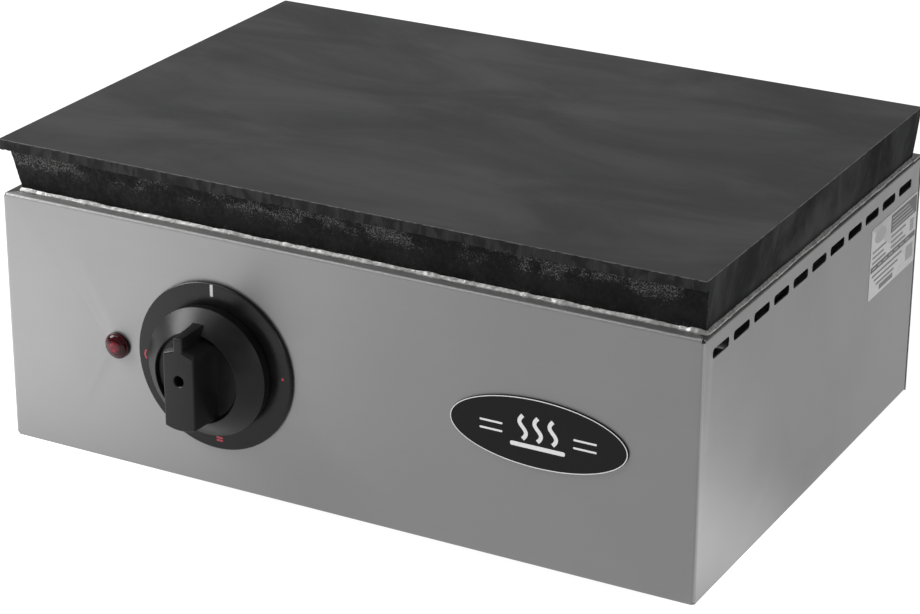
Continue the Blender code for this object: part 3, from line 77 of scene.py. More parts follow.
# ================================================================ places, read from the frame
SHELL_LOW, SHELL_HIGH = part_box("casing_shell")
PANEL_LOW, PANEL_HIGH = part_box("rear_panel")
PLATE_LOW, PLATE_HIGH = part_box("hot_plate")
SEAL_LOW, SEAL_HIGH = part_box("plate_seal")
BEZEL_LOW, BEZEL_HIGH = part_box("knob_bezel")
LENS_LOW, LENS_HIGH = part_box("indicator_lens")
BADGE_LOW, BADGE_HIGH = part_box("badge")
LABEL_LOW, LABEL_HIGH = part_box("rating_label")
GLAND_LOW, GLAND_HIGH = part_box("cable_gland")

LEFT, FRONT, BOTTOM = SHELL_LOW
RIGHT, SHELL_REAR, TOP = SHELL_HIGH
REAR = PANEL_HIGH.y
GAP = 0.0003  # clearance that the frame keeps between touching parts
SHAFT_HOLE_MARGIN = 0.003  # round the shaft, in the casing's front and in the dial
SWITCH_SCREW_HOLE = 0.0023  # radius, in the same two sheets
REAR_SCREW_HOLE = 0.0021
REAR_SCREW_SHANK = 0.00172
REAR_SCREW_REACH = 0.0077  # shank inside the rear panel
EARTH_HOLE = 0.0034
EARTH_NUT_BORE = 0.0031
GLAND_BORE = 0.0065
GLAND_THREAD = 0.0033  # from the gland's bore to the outside of its thread
FOOT_SCREW_SHANK = 0.00195
FOOT_SCREW_HOLE = 0.0023
FOOT_SCREW_HEAD = 0.0022  # height of its head, sunk in the foot
KNOB_WALL = 0.0024
HUB_WALL = 0.0052
POCKET_MARGINS = (0.008, 0.004)  # pocket beyond its element, across and along
POCKET_CORNER = 0.006
POCKET_ROOF_GAP = 0.001
ZINC = (0.55, 0.55, 0.53)
BRASS = (0.60, 0.43, 0.16)
BRASS_TARNISH = (0.30, 0.20, 0.08)
BEND_STEPS = 8  # facets of a fold's quarter bend


def middle(node):
    low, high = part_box(node)
    return (low + high) / 2


KNOB_AXIS = Vector((middle("knob_bezel").x, FRONT, middle("knob_bezel").z))
LAMP_AXIS = Vector((middle("indicator_lens").x, FRONT, middle("indicator_lens").z))
GLAND_AXIS = Vector((middle("cable_gland").x, REAR, middle("cable_gland").z))
EARTH_AXIS = Vector((middle("earth_stud").x, REAR, middle("earth_stud").z))
KNOB_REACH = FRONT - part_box("knob")[0].y
BEZEL_FACE = FRONT - BEZEL_LOW.y

# Each matrix turns local Z outward from that side of the casing, with local Y up.
OUTWARD = {
    "front": Matrix(((1, 0, 0), (0, 0, -1), (0, 1, 0))),
    "rear": Matrix(((-1, 0, 0), (0, 0, 1), (0, 1, 0))),
    "right": Matrix(((0, 0, 1), (1, 0, 0), (0, 1, 0))),
    "down": Matrix(((1, 0, 0), (0, -1, 0), (0, 0, -1))),
}


def facing(side, place):
    return Matrix.Translation(place) @ OUTWARD[side].to_4x4()


# ================================================================ settings
def length(name, description, default, most=0.5):
    return FloatProperty(
        name=name,
        description=description,
        default=default,
        min=0,
        max=most,
        precision=5,
        subtype="DISTANCE",
        unit="LENGTH",
    )


def colour(name, description, default):
    return FloatVectorProperty(
        name=name, description=description, default=default, size=3, min=0, max=1, subtype="COLOR"
    )


def factor(name, description, default, most=1.0):
    return FloatProperty(
        name=name, description=description, default=default, min=0, max=most, subtype="FACTOR"
    )


def slant(name, description, degrees):
    return FloatProperty(
        name=name, description=description, default=math.radians(degrees), subtype="ANGLE"
    )


def power(name, description, default):
    return FloatProperty(name=name, description=description, default=default, min=0, subtype="POWER")


def count(name, description, default):
    return IntProperty(name=name, description=description, default=default, min=1, max=500)


class BURNER_PG_plate(bpy.types.PropertyGroup):
    lip_height: length("Lip height", "Height of the machined lip on the two cast sides", 0.0059)
    lip_step: length("Lip step", "How far the cast sides stand back under the lip", 0.004)
    lip_wander: length("Lip wander", "How far the lip's lower edge wanders up and down", 0.0007)
    draft: length("Draft", "How far the cast sides lean in below the lip", 0.004)
    ground_draft: length("Ground draft", "How far the ground sides lean in over their height", 0.0028)
    corner_radius: length("Corner radius", "Radius of the four upright corners", 0.0009)
    edge_radius: length("Edge radius", "Radius of the ground edge round the top", 0.0005)
    cast_relief: length("Cast relief", "Depth of the sand-cast texture", 0.00034)
    grid: length("Grid", "Distance between the surface's points on the sides", 0.0009)
    top_colour: colour("Top colour", "Seasoned, ground iron", (0.022, 0.0222, 0.0226))
    cast_colour: colour("Cast colour", "Raw casting skin", (0.0040, 0.0040, 0.0041))
    bead_width: length("Bead width", "Width of the sealant bead at the plate's foot", 0.0018)
    bead_height: length("Bead height", "Height of the sealant bead", 0.0027)
    bead_lumps: length("Bead lumps", "Size of the bead's lumps", 0.0010)
    bead_colour: colour("Bead colour", "Silvery heatproof sealant", (0.30, 0.30, 0.295))


class BURNER_PG_casing(bpy.types.PropertyGroup):
    sheet: length("Sheet", "Thickness of the sheet steel", 0.001)
    bend_radius: length("Bend radius", "Outer radius of the folds", 0.0018)
    rear_bend_radius: length("Rear bend radius", "Outer radius of the rear panel's fold", 0.0026)
    top_flange: length("Top flange", "Width of the fold round the top", 0.015)
    bottom_flange: length("Bottom flange", "Width of the fold round the bottom", 0.020)
    rear_return: length("Rear return", "Width of the side panels' folds behind", 0.015)
    corner_curl: length("Corner curl", "Lift of the front fold's right end", 0.0007)
    vent_count: count("Side vents", "Number of vents in each side", 11)
    vent_front_margin: length("Front margin", "From the casing's front to the first vent", 0.0203)
    vent_rear_margin: length("Rear margin", "From the last vent to the casing's rear", 0.0252)
    vent_bridge: length("Vent bridge", "Metal between two vents", 0.00555)
    vent_height: length("Vent height", "Height of a vent", 0.0052)
    vent_corner: length("Vent corner", "Radius of a vent's corners", 0.0019)
    vent_drop: length("Vent drop", "From the casing's top to the middle of a vent", 0.0112)
    rear_vent_count: count("Rear vents", "Number of vents in the rear panel", 9)
    rear_vent_margin: length("Rear vent margin", "From the casing's side to the first rear vent", 0.080)
    rear_vent_bridge: length("Rear vent bridge", "Metal between two rear vents", 0.008)
    steel_colour: colour("Steel colour", "Brushed stainless sheet", (0.235, 0.235, 0.235))
    steel_roughness: factor("Steel roughness", "Roughness of the brushed sheet", 0.42)


class BURNER_PG_controls(bpy.types.PropertyGroup):
    skirt_radius: length("Skirt radius", "Outer radius of the knob", 0.0365)
    skirt_edge: length("Skirt edge", "Height of the skirt's edge above the casing", 0.010)
    knob_back: length("Knob back", "Height of the knob's back above the casing", 0.0036)
    dish_radius: length("Dish radius", "Radius of the rim round the grip", 0.0253)
    dish_rim: length("Dish rim", "Height of that rim above the casing", 0.0205)
    dish_depth: length("Dish depth", "Depth of the dish inside the rim", 0.003)
    grip_width: length("Grip width", "Width of the grip at its front", 0.0185)
    grip_foot_width: length("Grip foot width", "Width of the grip at its foot", 0.0215)
    grip_below: length("Grip below", "Reach of the grip below the axis", 0.024)
    grip_above: length("Grip above", "Reach of the grip above the axis", 0.0215)
    grip_end_radius: length("Grip end radius", "Radius of the grip's lower end", 0.026)
    nib_width: length("Nib width", "Width of the pointer nib", 0.0054)
    nib_reach: length("Nib reach", "Reach of the pointer nib above the axis", 0.029)
    dimple_radius: length("Dimple radius", "Radius of the blind hole in the grip", 0.003)
    dimple_above: length("Dimple above axis", "Height of that hole above the axis", 0.0045)
    dimple_depth: length("Dimple depth", "Depth of that hole", 0.007)
    plastic_colour: colour("Plastic colour", "Moulded black plastic", (0.0050, 0.0050, 0.0052))
    mark_colour: colour("Mark colour", "Pale mark at the off position", (0.46, 0.46, 0.45))
    heat_colour: colour("Heat mark colour", "Red marks of the three heats", (0.36, 0.012, 0.035))
    lens_colour: colour("Lens colour", "Red indicator lens", (0.13, 0.002, 0.010))


class BURNER_PG_trim(bpy.types.PropertyGroup):
    badge_rim: length("Badge rim", "Width of the badge's pale rim", 0.0007)
    badge_colour: colour("Badge colour", "Black enamel of the badge", (0.006, 0.006, 0.006))
    print_colour: colour("Print colour", "Pale lines on the badge", (0.60, 0.60, 0.60))
    wave_height: length("Wave height", "Height of the badge's heat waves", 0.013)
    film_colour: colour("Film colour", "Rating label's film", (0.36, 0.36, 0.36))
    ink_colour: colour("Ink colour", "Rating label's grey ink", (0.030, 0.030, 0.030))
    rubber_colour: colour("Rubber colour", "Rubber of the feet", (0.016, 0.016, 0.016))


class BURNER_PG_studio(bpy.types.PropertyGroup):
    azimuth: slant("Azimuth", "Camera's angle right of the front", 28.27)
    elevation: slant("Elevation", "Camera's angle above the horizon", 22.80)
    roll: slant("Roll", "Camera's tilt about its line of sight", 0.34)
    distance: length("Distance", "From the camera to the middle of the burner", 1.6302, 10)
    aim: FloatVectorProperty(
        name="Aim",
        description="Where the camera looks, from the middle of the burner",
        default=(-0.0002, -0.0071, -0.0147),
        size=3,
        subtype="TRANSLATION",
        unit="LENGTH",
    )
    lens: FloatProperty(
        name="Lens", description="Focal length in millimetres", default=113.9, min=10, max=400
    )
    key_power: power("Key power", "Power of the large light at the front left", 58)
    side_power: power("Side power", "Power of the light at the right", 9)
    top_power: power("Top power", "Power of the light overhead", 13)
    sky: factor("Sky", "Brightness of the surroundings", 0.36, 5)
    floor_colour: colour("Floor colour", "Pale paper floor", (0.14, 0.14, 0.14))
    floor_glow: factor("Floor glow", "Brightness of the light below the paper", 0.95, 5)
    left_glow: factor("Left glow", "Extra light below the paper at the front left", 1.8, 5)
    right_glow: factor("Right glow", "Extra light below the paper at the right", 2.0, 5)


class BURNER_PG_settings(bpy.types.PropertyGroup):
    plate: PointerProperty(type=BURNER_PG_plate)
    casing: PointerProperty(type=BURNER_PG_casing)
    controls: PointerProperty(type=BURNER_PG_controls)
    trim: PointerProperty(type=BURNER_PG_trim)
    studio: PointerProperty(type=BURNER_PG_studio)


# ================================================================ outlines
def rounded(points, closed=False, steps=6):
    """An outline with rounded corners.

    A point is (across, up), or (across, up, radius) for a round corner.
    """
    made = []
    for i, point in enumerate(points):
        here = np.array(point[:2], float)
        at_end = not closed and i in (0, len(points) - 1)
        if len(point) < 3 or not point[2] or at_end:
            made.append(tuple(here))
            continue
        to_before = np.array(points[i - 1][:2]) - here
        to_after = np.array(points[(i + 1) % len(points)][:2]) - here
        to_before /= np.linalg.norm(to_before)
        to_after /= np.linalg.norm(to_after)
        half = math.acos(max(-1, min(1, to_before @ to_after))) / 2
        inward = (to_before + to_after) / np.linalg.norm(to_before + to_after)
        centre = here + inward * point[2] / math.sin(half)
        start = here + to_before * point[2] / math.tan(half) - centre
        end = here + to_after * point[2] / math.tan(half) - centre
        first = math.atan2(start[1], start[0])
        turn = (math.atan2(end[1], end[0]) - first + math.pi) % (2 * math.pi) - math.pi
        for step in range(steps + 1):
            angle = first + turn * step / steps
            made.append((centre[0] + point[2] * math.cos(angle), centre[1] + point[2] * math.sin(angle)))
    return made


def arc(centre, radius, first, last, steps):
    """Points on an arc between two angles in degrees."""
    angles = [math.radians(first + (last - first) * step / steps) for step in range(steps + 1)]
    return [(centre[0] + radius * math.cos(a), centre[1] + radius * math.sin(a)) for a in angles]


def circle(radius, steps, centre=(0, 0)):
    return arc(centre, radius, 0, 360 - 360 / steps, steps - 1)


def ellipse(half_width, half_height, steps):
    return [(half_width * x, half_height * y) for x, y in circle(1, steps)]


def slot_outline(centre, long, high, corner):
    """A slot with rounded corners, long across and high up."""
    low = (centre[0] - long / 2, centre[1] - high / 2)
    return box_outline(low, (low[0] + long, low[1] + high), corner, 6)


def box_outline(low, high, radius=0.0, steps=4):
    corners = ((low[0], low[1]), (high[0], low[1]), (high[0], high[1]), (low[0], high[1]))
    return rounded([(*corner, radius) for corner in corners], closed=True, steps=steps)


def ribbon(route, width):
    """The outline of a flat line of one width along a route."""
    route = np.array(route, float)
    along = np.gradient(route, axis=0)
    along /= np.linalg.norm(along, axis=1)[:, None]
    across = np.stack([-along[:, 1], along[:, 0]], 1) * width / 2
    return [tuple(p) for p in np.concatenate([route - across, (route + across)[::-1]])]


# ================================================================ mesh makers
def smooth(mesh, sharp=38):
    """Smooth shading, with edges of more than sharp degrees kept hard."""
    mesh.shade_smooth()
    mesh.set_sharp_from_angle(angle=math.radians(sharp))
    return mesh


def mesh_from(name, bm, place=None, sharp=38, weld=1e-7):
    if weld:
        bmesh.ops.remove_doubles(bm, verts=bm.verts[:], dist=weld)
    bmesh.ops.recalc_face_normals(bm, faces=bm.faces[:])
    mesh = bpy.data.meshes.new(name)
    bm.to_mesh(mesh)
    bm.free()
    if place is not None:
        mesh.transform(place)
    return smooth(mesh, sharp)


def add_rings(bm, rings, caps=True, closed=True):
    """Faces through rings of points that have the same number of points each."""
    made = [[bm.verts.new(point) for point in ring] for ring in rings]
    for lower, upper in zip(made, made[1:]):
        for i in range(len(lower) if closed else len(lower) - 1):
            j = (i + 1) % len(lower)
            bm.faces.new((lower[i], lower[j], upper[j], upper[i]))
    if caps:
        bm.faces.new(made[0][::-1])
        bm.faces.new(made[-1])
    return made


def turned(name, profile, place, segments=96, closed=False, ripple=None):
    """A body turned about local Z, from a profile of (radius, height).

    An open profile starts and ends on the axis. ripple(angle, radius, height) moves the radius.
    """
    rings = []
    for radius, height in profile:
        ring = []
        for step in range(segments):
            angle = 2 * math.pi * step / segments
            here = radius + (ripple(angle, radius, height) if ripple and radius else 0)
            ring.append((here * math.cos(angle), here * math.sin(angle), height))
        rings.append(ring)
    bm = bmesh.new()
    add_rings(bm, rings + rings[:1] if closed else rings, caps=False)
    return mesh_from(name, bm, place, weld=1e-6)


def lofted(name, rings, place=None, sharp=38):
    """A closed body through rings of points."""
    bm = bmesh.new()
    add_rings(bm, rings)
    return mesh_from(name, bm, place, sharp)


def plaque(name, outlines, low, high, place, edge=0.0):
    """Flat shapes between two heights, with their upper edge eased by edge."""
    bm = bmesh.new()
    for outline in outlines:
        rings = [[(x, y, low) for x, y in outline], [(x, y, high - edge) for x, y in outline]]
        if edge:
            centre = np.mean(outline, axis=0)
            span = np.ptp(np.array(outline), axis=0)
            ease = 1 - 2 * edge / span
            rings.append([(*(centre + (np.array(point) - centre) * ease), high) for point in outline])
        add_rings(bm, rings)
    return mesh_from(name, bm, place, weld=0)


def applied(obj):
    """The object's mesh with its modifiers applied. The object is removed."""
    bpy.context.view_layer.update()
    graph = bpy.context.evaluated_depsgraph_get()
    mesh = bpy.data.meshes.new_from_object(obj.evaluated_get(graph))
    bpy.data.objects.remove(obj, do_unlink=True)
    return mesh


def combined(name, base, helpers, sharp=38):
    """The base mesh after a Boolean with each (mesh, operation)."""
    obj = bpy.data.objects.new(name, base)
    bpy.context.scene.collection.objects.link(obj)
    cutters = []
    for mesh, operation in helpers:
        cutter = bpy.data.objects.new(mesh.name, mesh)
        bpy.context.scene.collection.objects.link(cutter)
        cutters.append(cutter)
        modifier = obj.modifiers.new(mesh.name, "BOOLEAN")
        modifier.operation = operation
        modifier.solver = "EXACT"
        modifier.object = cutter
    mesh = applied(obj)
    for cutter in cutters:
        bpy.data.objects.remove(cutter, do_unlink=True)
    mesh.name = name
    return smooth(mesh, sharp)


def new_piece(name, mesh, material, body, nodes=()):
    """Adds a finished piece that rides on a body and stands for those CAD nodes."""
    piece = bpy.data.objects.new(name, mesh)
    bpy.context.scene.collection.objects.link(piece)
    for each in material if isinstance(material, (list, tuple)) else [material]:
        mesh.materials.append(each)
    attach(piece, body)
    if nodes:
        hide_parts(*nodes)
    return piece


def fill_with_holes(bm, outer, holes, normal):
    """Fills a flat loop of vertices and leaves the holes' loops open."""
    edges = []
    for loop in (outer, *holes):
        for first, second in zip(loop, loop[1:] + loop[:1]):
            edges.append(bm.edges.get((first, second)) or bm.edges.new((first, second)))
    made = bmesh.ops.triangle_fill(bm, use_beauty=True, use_dissolve=False, edges=edges, normal=normal)
    return [item for item in made["geom"] if isinstance(item, bmesh.types.BMFace)]


# ================================================================ materials
class Finish:
    """A procedural material: short names for the nodes that feed its Principled shader."""

    def __init__(self, name, base, roughness, metallic=0.0, **sockets):
        self.material = bpy.data.materials.new(name)
        self.material.use_nodes = True
        self.tree = self.material.node_tree
        self.shader = self.tree.nodes["Principled BSDF"]
        self.shader.inputs["Base Color"].default_value = (*base, 1)
        self.shader.inputs["Roughness"].default_value = roughness
        self.shader.inputs["Metallic"].default_value = metallic
        for socket, value in sockets.items():
            self.shader.inputs[socket.replace("_", " ")].default_value = value
        self.material.diffuse_color = (*base, 1)

    def node(self, kind, inputs=(), **settings):
        made = self.tree.nodes.new(kind)
        for name, value in settings.items():
            setattr(made, name, value)
        for socket, value in dict(inputs).items():
            if isinstance(value, bpy.types.NodeSocket):
                self.tree.links.new(value, made.inputs[socket])
            else:
                made.inputs[socket].default_value = value
        return made

    def feed(self, socket, value):
        self.tree.links.new(value, self.shader.inputs[socket])

    def place(self, stretch=(1, 1, 1), offset=(0, 0, 0)):
        coordinates = self.node("ShaderNodeTexCoord").outputs["Object"]
        return self.node(
            "ShaderNodeMapping", {"Vector": coordinates, "Scale": stretch, "Location": offset}
        ).outputs["Vector"]

    def axis(self, name):
        here = self.node("ShaderNodeTexCoord").outputs["Object"]
        return self.node("ShaderNodeSeparateXYZ", {"Vector": here}).outputs[name]

    def noise(self, scale, stretch=(1, 1, 1), detail=4.0, roughness=0.55, offset=(0, 0, 0), distortion=0.0):
        inputs = {
            "Vector": self.place(stretch, offset),
            "Scale": scale,
            "Detail": detail,
            "Roughness": roughness,
            "Distortion": distortion,
        }
        return self.node("ShaderNodeTexNoise", inputs).outputs["Fac"]

    def cells(self, scale, output="Distance"):
        inputs = {"Vector": self.place(), "Scale": scale}
        return self.node("ShaderNodeTexVoronoi", inputs).outputs[output]

    def ramp(self, value, low, high, to_low=0.0, to_high=1.0):
        """Value from low..high taken smoothly to to_low..to_high, and held outside."""
        inputs = {"Value": value, "From Min": low, "From Max": high, "To Min": to_low, "To Max": to_high}
        return self.node("ShaderNodeMapRange", inputs, interpolation_type="SMOOTHSTEP").outputs["Result"]

    def math(self, operation, first, second=0.0):
        return self.node("ShaderNodeMath", {0: first, 1: second}, operation=operation).outputs[0]

    def blend(self, share, first, second):
        """Colour that goes from first to second. Each is three numbers or a socket."""
        made = self.node("ShaderNodeMix", data_type="RGBA")
        sockets = [s for s in made.inputs if s.type == "RGBA"]
        self.tree.links.new(share, made.inputs[0])
        for socket, value in zip(sockets, (first, second)):
            if isinstance(value, bpy.types.NodeSocket):
                self.tree.links.new(value, socket)
            else:
                socket.default_value = (*value, 1)
        return next(s for s in made.outputs if s.type == "RGBA")

    def bump(self, height, distance, strength):
        inputs = {"Height": height, "Distance": distance, "Strength": strength}
        return self.node("ShaderNodeBump", inputs).outputs["Normal"]


def shade(base, amount):
    """A colour made darker or lighter by a factor."""
    return tuple(min(1, value * amount) for value in base)


def ground_iron(base):
    """The plate's ground top: cloudy seasoning, small pits, and a paler broken line along its right and
    front edges.
    """
    made = Finish("ground iron", base, 0.42, 0.15, Specular_IOR_Level=0.48)
    clouds = made.noise(8, (1, 2.2, 1), detail=5, roughness=0.6, distortion=0.6)
    streaks = made.noise(30, (0.35, 2.2, 2.2), detail=4)
    grain = made.noise(1500, detail=2)
    cloudy = made.blend(made.ramp(clouds, 0.34, 0.68), shade(base, 0.82), shade(base, 1.45))
    streaked = made.blend(made.ramp(streaks, 0.40, 0.78, 0.0, 0.22), cloudy, shade(base, 1.7))
    grained = made.blend(made.ramp(grain, 0.35, 0.75, 0.0, 0.25), streaked, shade(base, 2.0))
    pits = made.ramp(made.cells(330), 0.05, 0.13, 1.0, 0.0)
    few = made.ramp(made.noise(160, detail=2, offset=(3, 1, 2)), 0.60, 0.66)
    pitted = made.math("MULTIPLY", pits, few)
    dark = made.blend(pitted, grained, shade(base, 0.25))
    # a paler broken line along the top's right edge and, fainter, along its front edge
    right_edge = made.ramp(made.axis("X"), PLATE_HIGH.x - 0.0008, PLATE_HIGH.x - 0.0003)
    front_edge = made.ramp(made.axis("Y"), PLATE_LOW.y + 0.0008, PLATE_LOW.y + 0.0003)
    edges = made.math("MAXIMUM", right_edge, made.math("MULTIPLY", front_edge, 0.30))
    at_top = made.ramp(made.axis("Z"), PLATE_HIGH.z - 0.0006, PLATE_HIGH.z - 0.0002)
    broken = made.ramp(made.noise(130, detail=4, offset=(7, 0, 0)), 0.34, 0.62, 0.35, 1.0)
    pale_edge_line = made.math("MULTIPLY", made.math("MULTIPLY", edges, at_top), broken)
    made.feed("Base Color", made.blend(pale_edge_line, dark, (0.15, 0.15, 0.15)))
    rough = made.ramp(clouds, 0.30, 0.75, 0.52, 0.34)
    made.feed("Roughness", made.math("ADD", rough, made.math("MULTIPLY", pitted, 0.3)))
    depth = made.math("SUBTRACT", made.math("MULTIPLY", grain, 0.25), pitted)
    made.feed("Normal", made.bump(depth, 0.00022, 0.55))
    return made.material


def lip_iron(base):
    """The lip's narrow face, with faint upright tool marks, dark blotches and a paler broken line along its
    top.
    """
    made = Finish("tooled iron", base, 0.52, 0.0, Specular_IOR_Level=0.12)
    tooling = made.noise(900, (1, 1, 0.02), detail=2)
    blotches = made.noise(150, (1, 1, 0.5), detail=5, distortion=0.6)
    skin = made.blend(made.ramp(tooling, 0.35, 0.7, 0.0, 0.6), shade(base, 0.55), shade(base, 1.15))
    stained = made.blend(made.ramp(blotches, 0.44, 0.56, 0.0, 0.9), skin, shade(base, 0.22))
    rim = made.ramp(made.axis("Z"), PLATE_HIGH.z - 0.0007, PLATE_HIGH.z - 0.0002)
    broken = made.ramp(made.noise(300, detail=3), 0.40, 0.62, 0.0, 0.5)
    made.feed("Base Color", made.blend(made.math("MULTIPLY", rim, broken), stained, (0.16, 0.16, 0.16)))
    made.feed("Roughness", made.ramp(blotches, 0.3, 0.7, 0.40, 0.62))
    made.feed("Normal", made.bump(tooling, 0.00012, 0.5))
    return made.material


def cast_iron(base):
    """The sand-cast sides: rough and nearly black, rubbed to grey specks just under the lip."""
    made = Finish("cast iron skin", base, 0.66, 0.0, Specular_IOR_Level=0.10)
    coarse = made.noise(420, detail=5, roughness=0.65)
    fine = made.noise(1700, detail=3)
    patches = made.noise(45, (1, 1, 1.6), detail=3, distortion=0.4)
    height = made.axis("Z")
    high = made.ramp(height, PLATE_LOW.z + 0.007, PLATE_HIGH.z - 0.012)
    low = made.ramp(height, PLATE_LOW.z + 0.006, PLATE_LOW.z + 0.001, 0.0, 0.4)
    where = made.math("MULTIPLY", made.math("MAXIMUM", high, low), made.ramp(patches, 0.36, 0.60))
    grit = made.noise(1300, detail=4, roughness=0.7, offset=(2, 2, 2))
    specks = made.ramp(made.math("ADD", grit, made.math("MULTIPLY", where, 0.16)), 0.66, 0.72)
    skin = made.blend(made.ramp(patches, 0.35, 0.7), shade(base, 0.7), shade(base, 1.9))
    made.feed("Base Color", made.blend(specks, skin, (0.095, 0.095, 0.093)))
    made.feed("Roughness", made.ramp(coarse, 0.3, 0.7, 0.74, 0.50))
    relief = made.math("ADD", coarse, made.math("MULTIPLY", fine, 0.4))
    made.feed("Normal", made.bump(relief, 0.0006, 0.8))
    return made.material


def ground_side_iron(base):
    """The right and rear sides, ground by hand: soft mottling under faint upright strokes, and a painted
    shadow that darkens them towards their foot.
    """
    made = Finish("side-ground iron", base, 0.60, 0.0, Specular_IOR_Level=0.0)
    scratches = made.noise(700, (1, 1, 0.06), detail=3, roughness=0.7)
    strokes = made.noise(60, (1, 1, 0.35), detail=4, distortion=0.5)
    mottle = made.noise(20, (1, 1, 0.8), detail=6, roughness=0.62, distortion=0.4)
    mixed = made.blend(made.ramp(mottle, 0.36, 0.66), shade(base, 0.55), shade(base, 1.30))
    stroked = made.blend(made.ramp(strokes, 0.54, 0.74, 0.0, 0.40), mixed, shade(base, 2.0))
    scratched = made.blend(made.ramp(scratches, 0.58, 0.74, 0.0, 0.22), stroked, shade(base, 2.6))
    # painted shadow: the sides are darkened towards their foot, where the plate meets the sealant and the
    # casing
    foot = made.ramp(made.axis("Z"), PLATE_LOW.z + 0.005, PLATE_LOW.z + 0.0005, 0.0, 0.7)
    darker = made.blend(foot, scratched, shade(base, 0.30))
    rim = made.ramp(made.axis("Z"), PLATE_HIGH.z - 0.0005, PLATE_HIGH.z - 0.0001)
    broken = made.ramp(made.noise(130, detail=4, offset=(7, 0, 0)), 0.34, 0.62, 0.3, 0.9)
    made.feed("Base Color", made.blend(made.math("MULTIPLY", rim, broken), darker, (0.12, 0.12, 0.12)))
    made.feed("Normal", made.bump(made.math("ADD", scratches, strokes), 0.00010, 0.5))
    return made.material


def brushed_steel(base, roughness):
    """Brushed stainless sheet. The brushing runs round the casing, and along the folds."""
    made = Finish("brushed stainless", base, roughness, 1.0, Anisotropic=0.80, Anisotropic_Rotation=0.25)
    lying = made.node("ShaderNodeNewGeometry").outputs["True Normal"]
    up = made.math("ABSOLUTE", made.node("ShaderNodeSeparateXYZ", {"Vector": lying}).outputs["Z"])
    flat = made.ramp(up, 0.55, 0.85)
    upright = made.noise(1.0, (9, 9, 4200), detail=3, roughness=0.7)
    across = made.noise(1.0, (9, 2600, 9), detail=3, roughness=0.7)
    grain = made.node("ShaderNodeMix", {0: flat, 2: upright, 3: across}).outputs[0]
    bands = made.noise(1.0, (2.5, 2.5, 260), detail=4)
    smudges = made.noise(14, detail=4, distortion=0.5)
    lined = made.blend(made.ramp(grain, 0.30, 0.70), shade(base, 0.975), shade(base, 1.02))
    banded = made.blend(made.ramp(bands, 0.35, 0.65, 0.0, 0.25), lined, shade(base, 1.03))
    made.feed("Base Color", banded)
    dull = made.ramp(smudges, 0.35, 0.75, roughness - 0.01, roughness + 0.02)
    made.feed("Roughness", made.math("ADD", dull, made.ramp(grain, 0.3, 0.7, -0.015, 0.02)))
    made.feed("Normal", made.bump(grain, 0.000008, 0.25))
    along = made.node("ShaderNodeTangent", direction_type="UV_MAP", uv_map="brushing").outputs["Tangent"]
    made.feed("Tangent", along)
    return made.material


def galvanised():
    """Zinc-coated sheet with its crystal pattern."""
    base = (0.46, 0.465, 0.47)
    made = Finish("galvanised sheet", base, 0.42, 0.9)
    crystals = made.cells(85, output="Color")
    tone = made.node("ShaderNodeSeparateColor", {"Color": crystals}).outputs[0]
    haze = made.noise(30, detail=4)
    spangled = made.blend(tone, shade(base, 0.80), shade(base, 1.15))
    made.feed("Base Color", made.blend(made.ramp(haze, 0.4, 0.7, 0.0, 0.5), spangled, shade(base, 0.85)))
    made.feed("Roughness", made.ramp(tone, 0, 1, 0.34, 0.50))
    made.feed("Normal", made.bump(made.noise(900), 0.00003, 0.4))
    return made.material


def plated(name, base, roughness=0.32, tarnish=(0.30, 0.29, 0.26)):
    """Zinc plating, brass or heat-blued element sheath: a metal with patches of tarnish."""
    made = Finish(name, base, roughness, 1.0)
    patches = made.noise(160, detail=4)
    made.feed("Base Color", made.blend(made.ramp(patches, 0.45, 0.75, 0.0, 0.7), base, tarnish))
    made.feed("Roughness", made.ramp(patches, 0.35, 0.7, roughness, roughness + 0.18))
    made.feed("Normal", made.bump(made.noise(2200, detail=2), 0.00003, 0.4))
    return made.material


def sealant(base):
    """Silvery heatproof paste, skinned over and pulled into creases."""
    made = Finish("heatproof sealant", base, 0.42, 0.45)
    folds = made.noise(420, (1, 1, 1.5), detail=4, distortion=0.8)
    grit = made.noise(2600, detail=2)
    dirt = made.noise(150, detail=4, offset=(4, 4, 4))
    skin = made.blend(made.ramp(folds, 0.3, 0.7), shade(base, 0.62), shade(base, 1.30))
    made.feed("Base Color", made.blend(made.ramp(dirt, 0.50, 0.68, 0.0, 0.65), skin, shade(base, 0.35)))
    made.feed("Roughness", made.ramp(folds, 0.3, 0.7, 0.52, 0.30))
    creases = made.math("ADD", folds, made.math("MULTIPLY", grit, 0.08))
    made.feed("Normal", made.bump(creases, 0.0004, 0.7))
    return made.material


def moulded(name, base, roughness=0.33):
    """Moulded plastic with a fine grain, faint flow marks and a few pale scuffs and specks of dust."""
    made = Finish(name, base, roughness, 0.0, Specular_IOR_Level=0.19)
    skin = made.noise(3200, detail=2)
    flow = made.noise(60, detail=4, distortion=0.8)
    marks = made.noise(520, (1, 1, 0.25), detail=4, roughness=0.7, offset=(1, 5, 2))
    dust = made.ramp(made.cells(900), 0.03, 0.07, 1.0, 0.0)
    few = made.ramp(made.noise(380, detail=1, offset=(9, 2, 5)), 0.64, 0.70)
    tone = made.blend(made.ramp(flow, 0.35, 0.7), shade(base, 0.88), shade(base, 1.20))
    scuffed = made.blend(made.ramp(marks, 0.60, 0.76, 0.0, 0.35), tone, shade(base, 3.0))
    made.feed("Base Color", made.blend(made.math("MULTIPLY", dust, few), scuffed, (0.16, 0.16, 0.16)))
    made.feed("Roughness", made.ramp(flow, 0.3, 0.7, roughness - 0.04, roughness + 0.06))
    made.feed("Normal", made.bump(skin, 0.00003, 0.5))
    return made.material


def printed(name, base, roughness=0.45):
    """Ink or paint with slightly uneven cover."""
    made = Finish(name, base, roughness)
    cover = made.noise(1400, detail=3)
    made.feed("Base Color", made.blend(made.ramp(cover, 0.52, 0.75, 0.0, 0.35), base, shade(base, 0.55)))
    made.feed("Normal", made.bump(cover, 0.00001, 0.4))
    return made.material


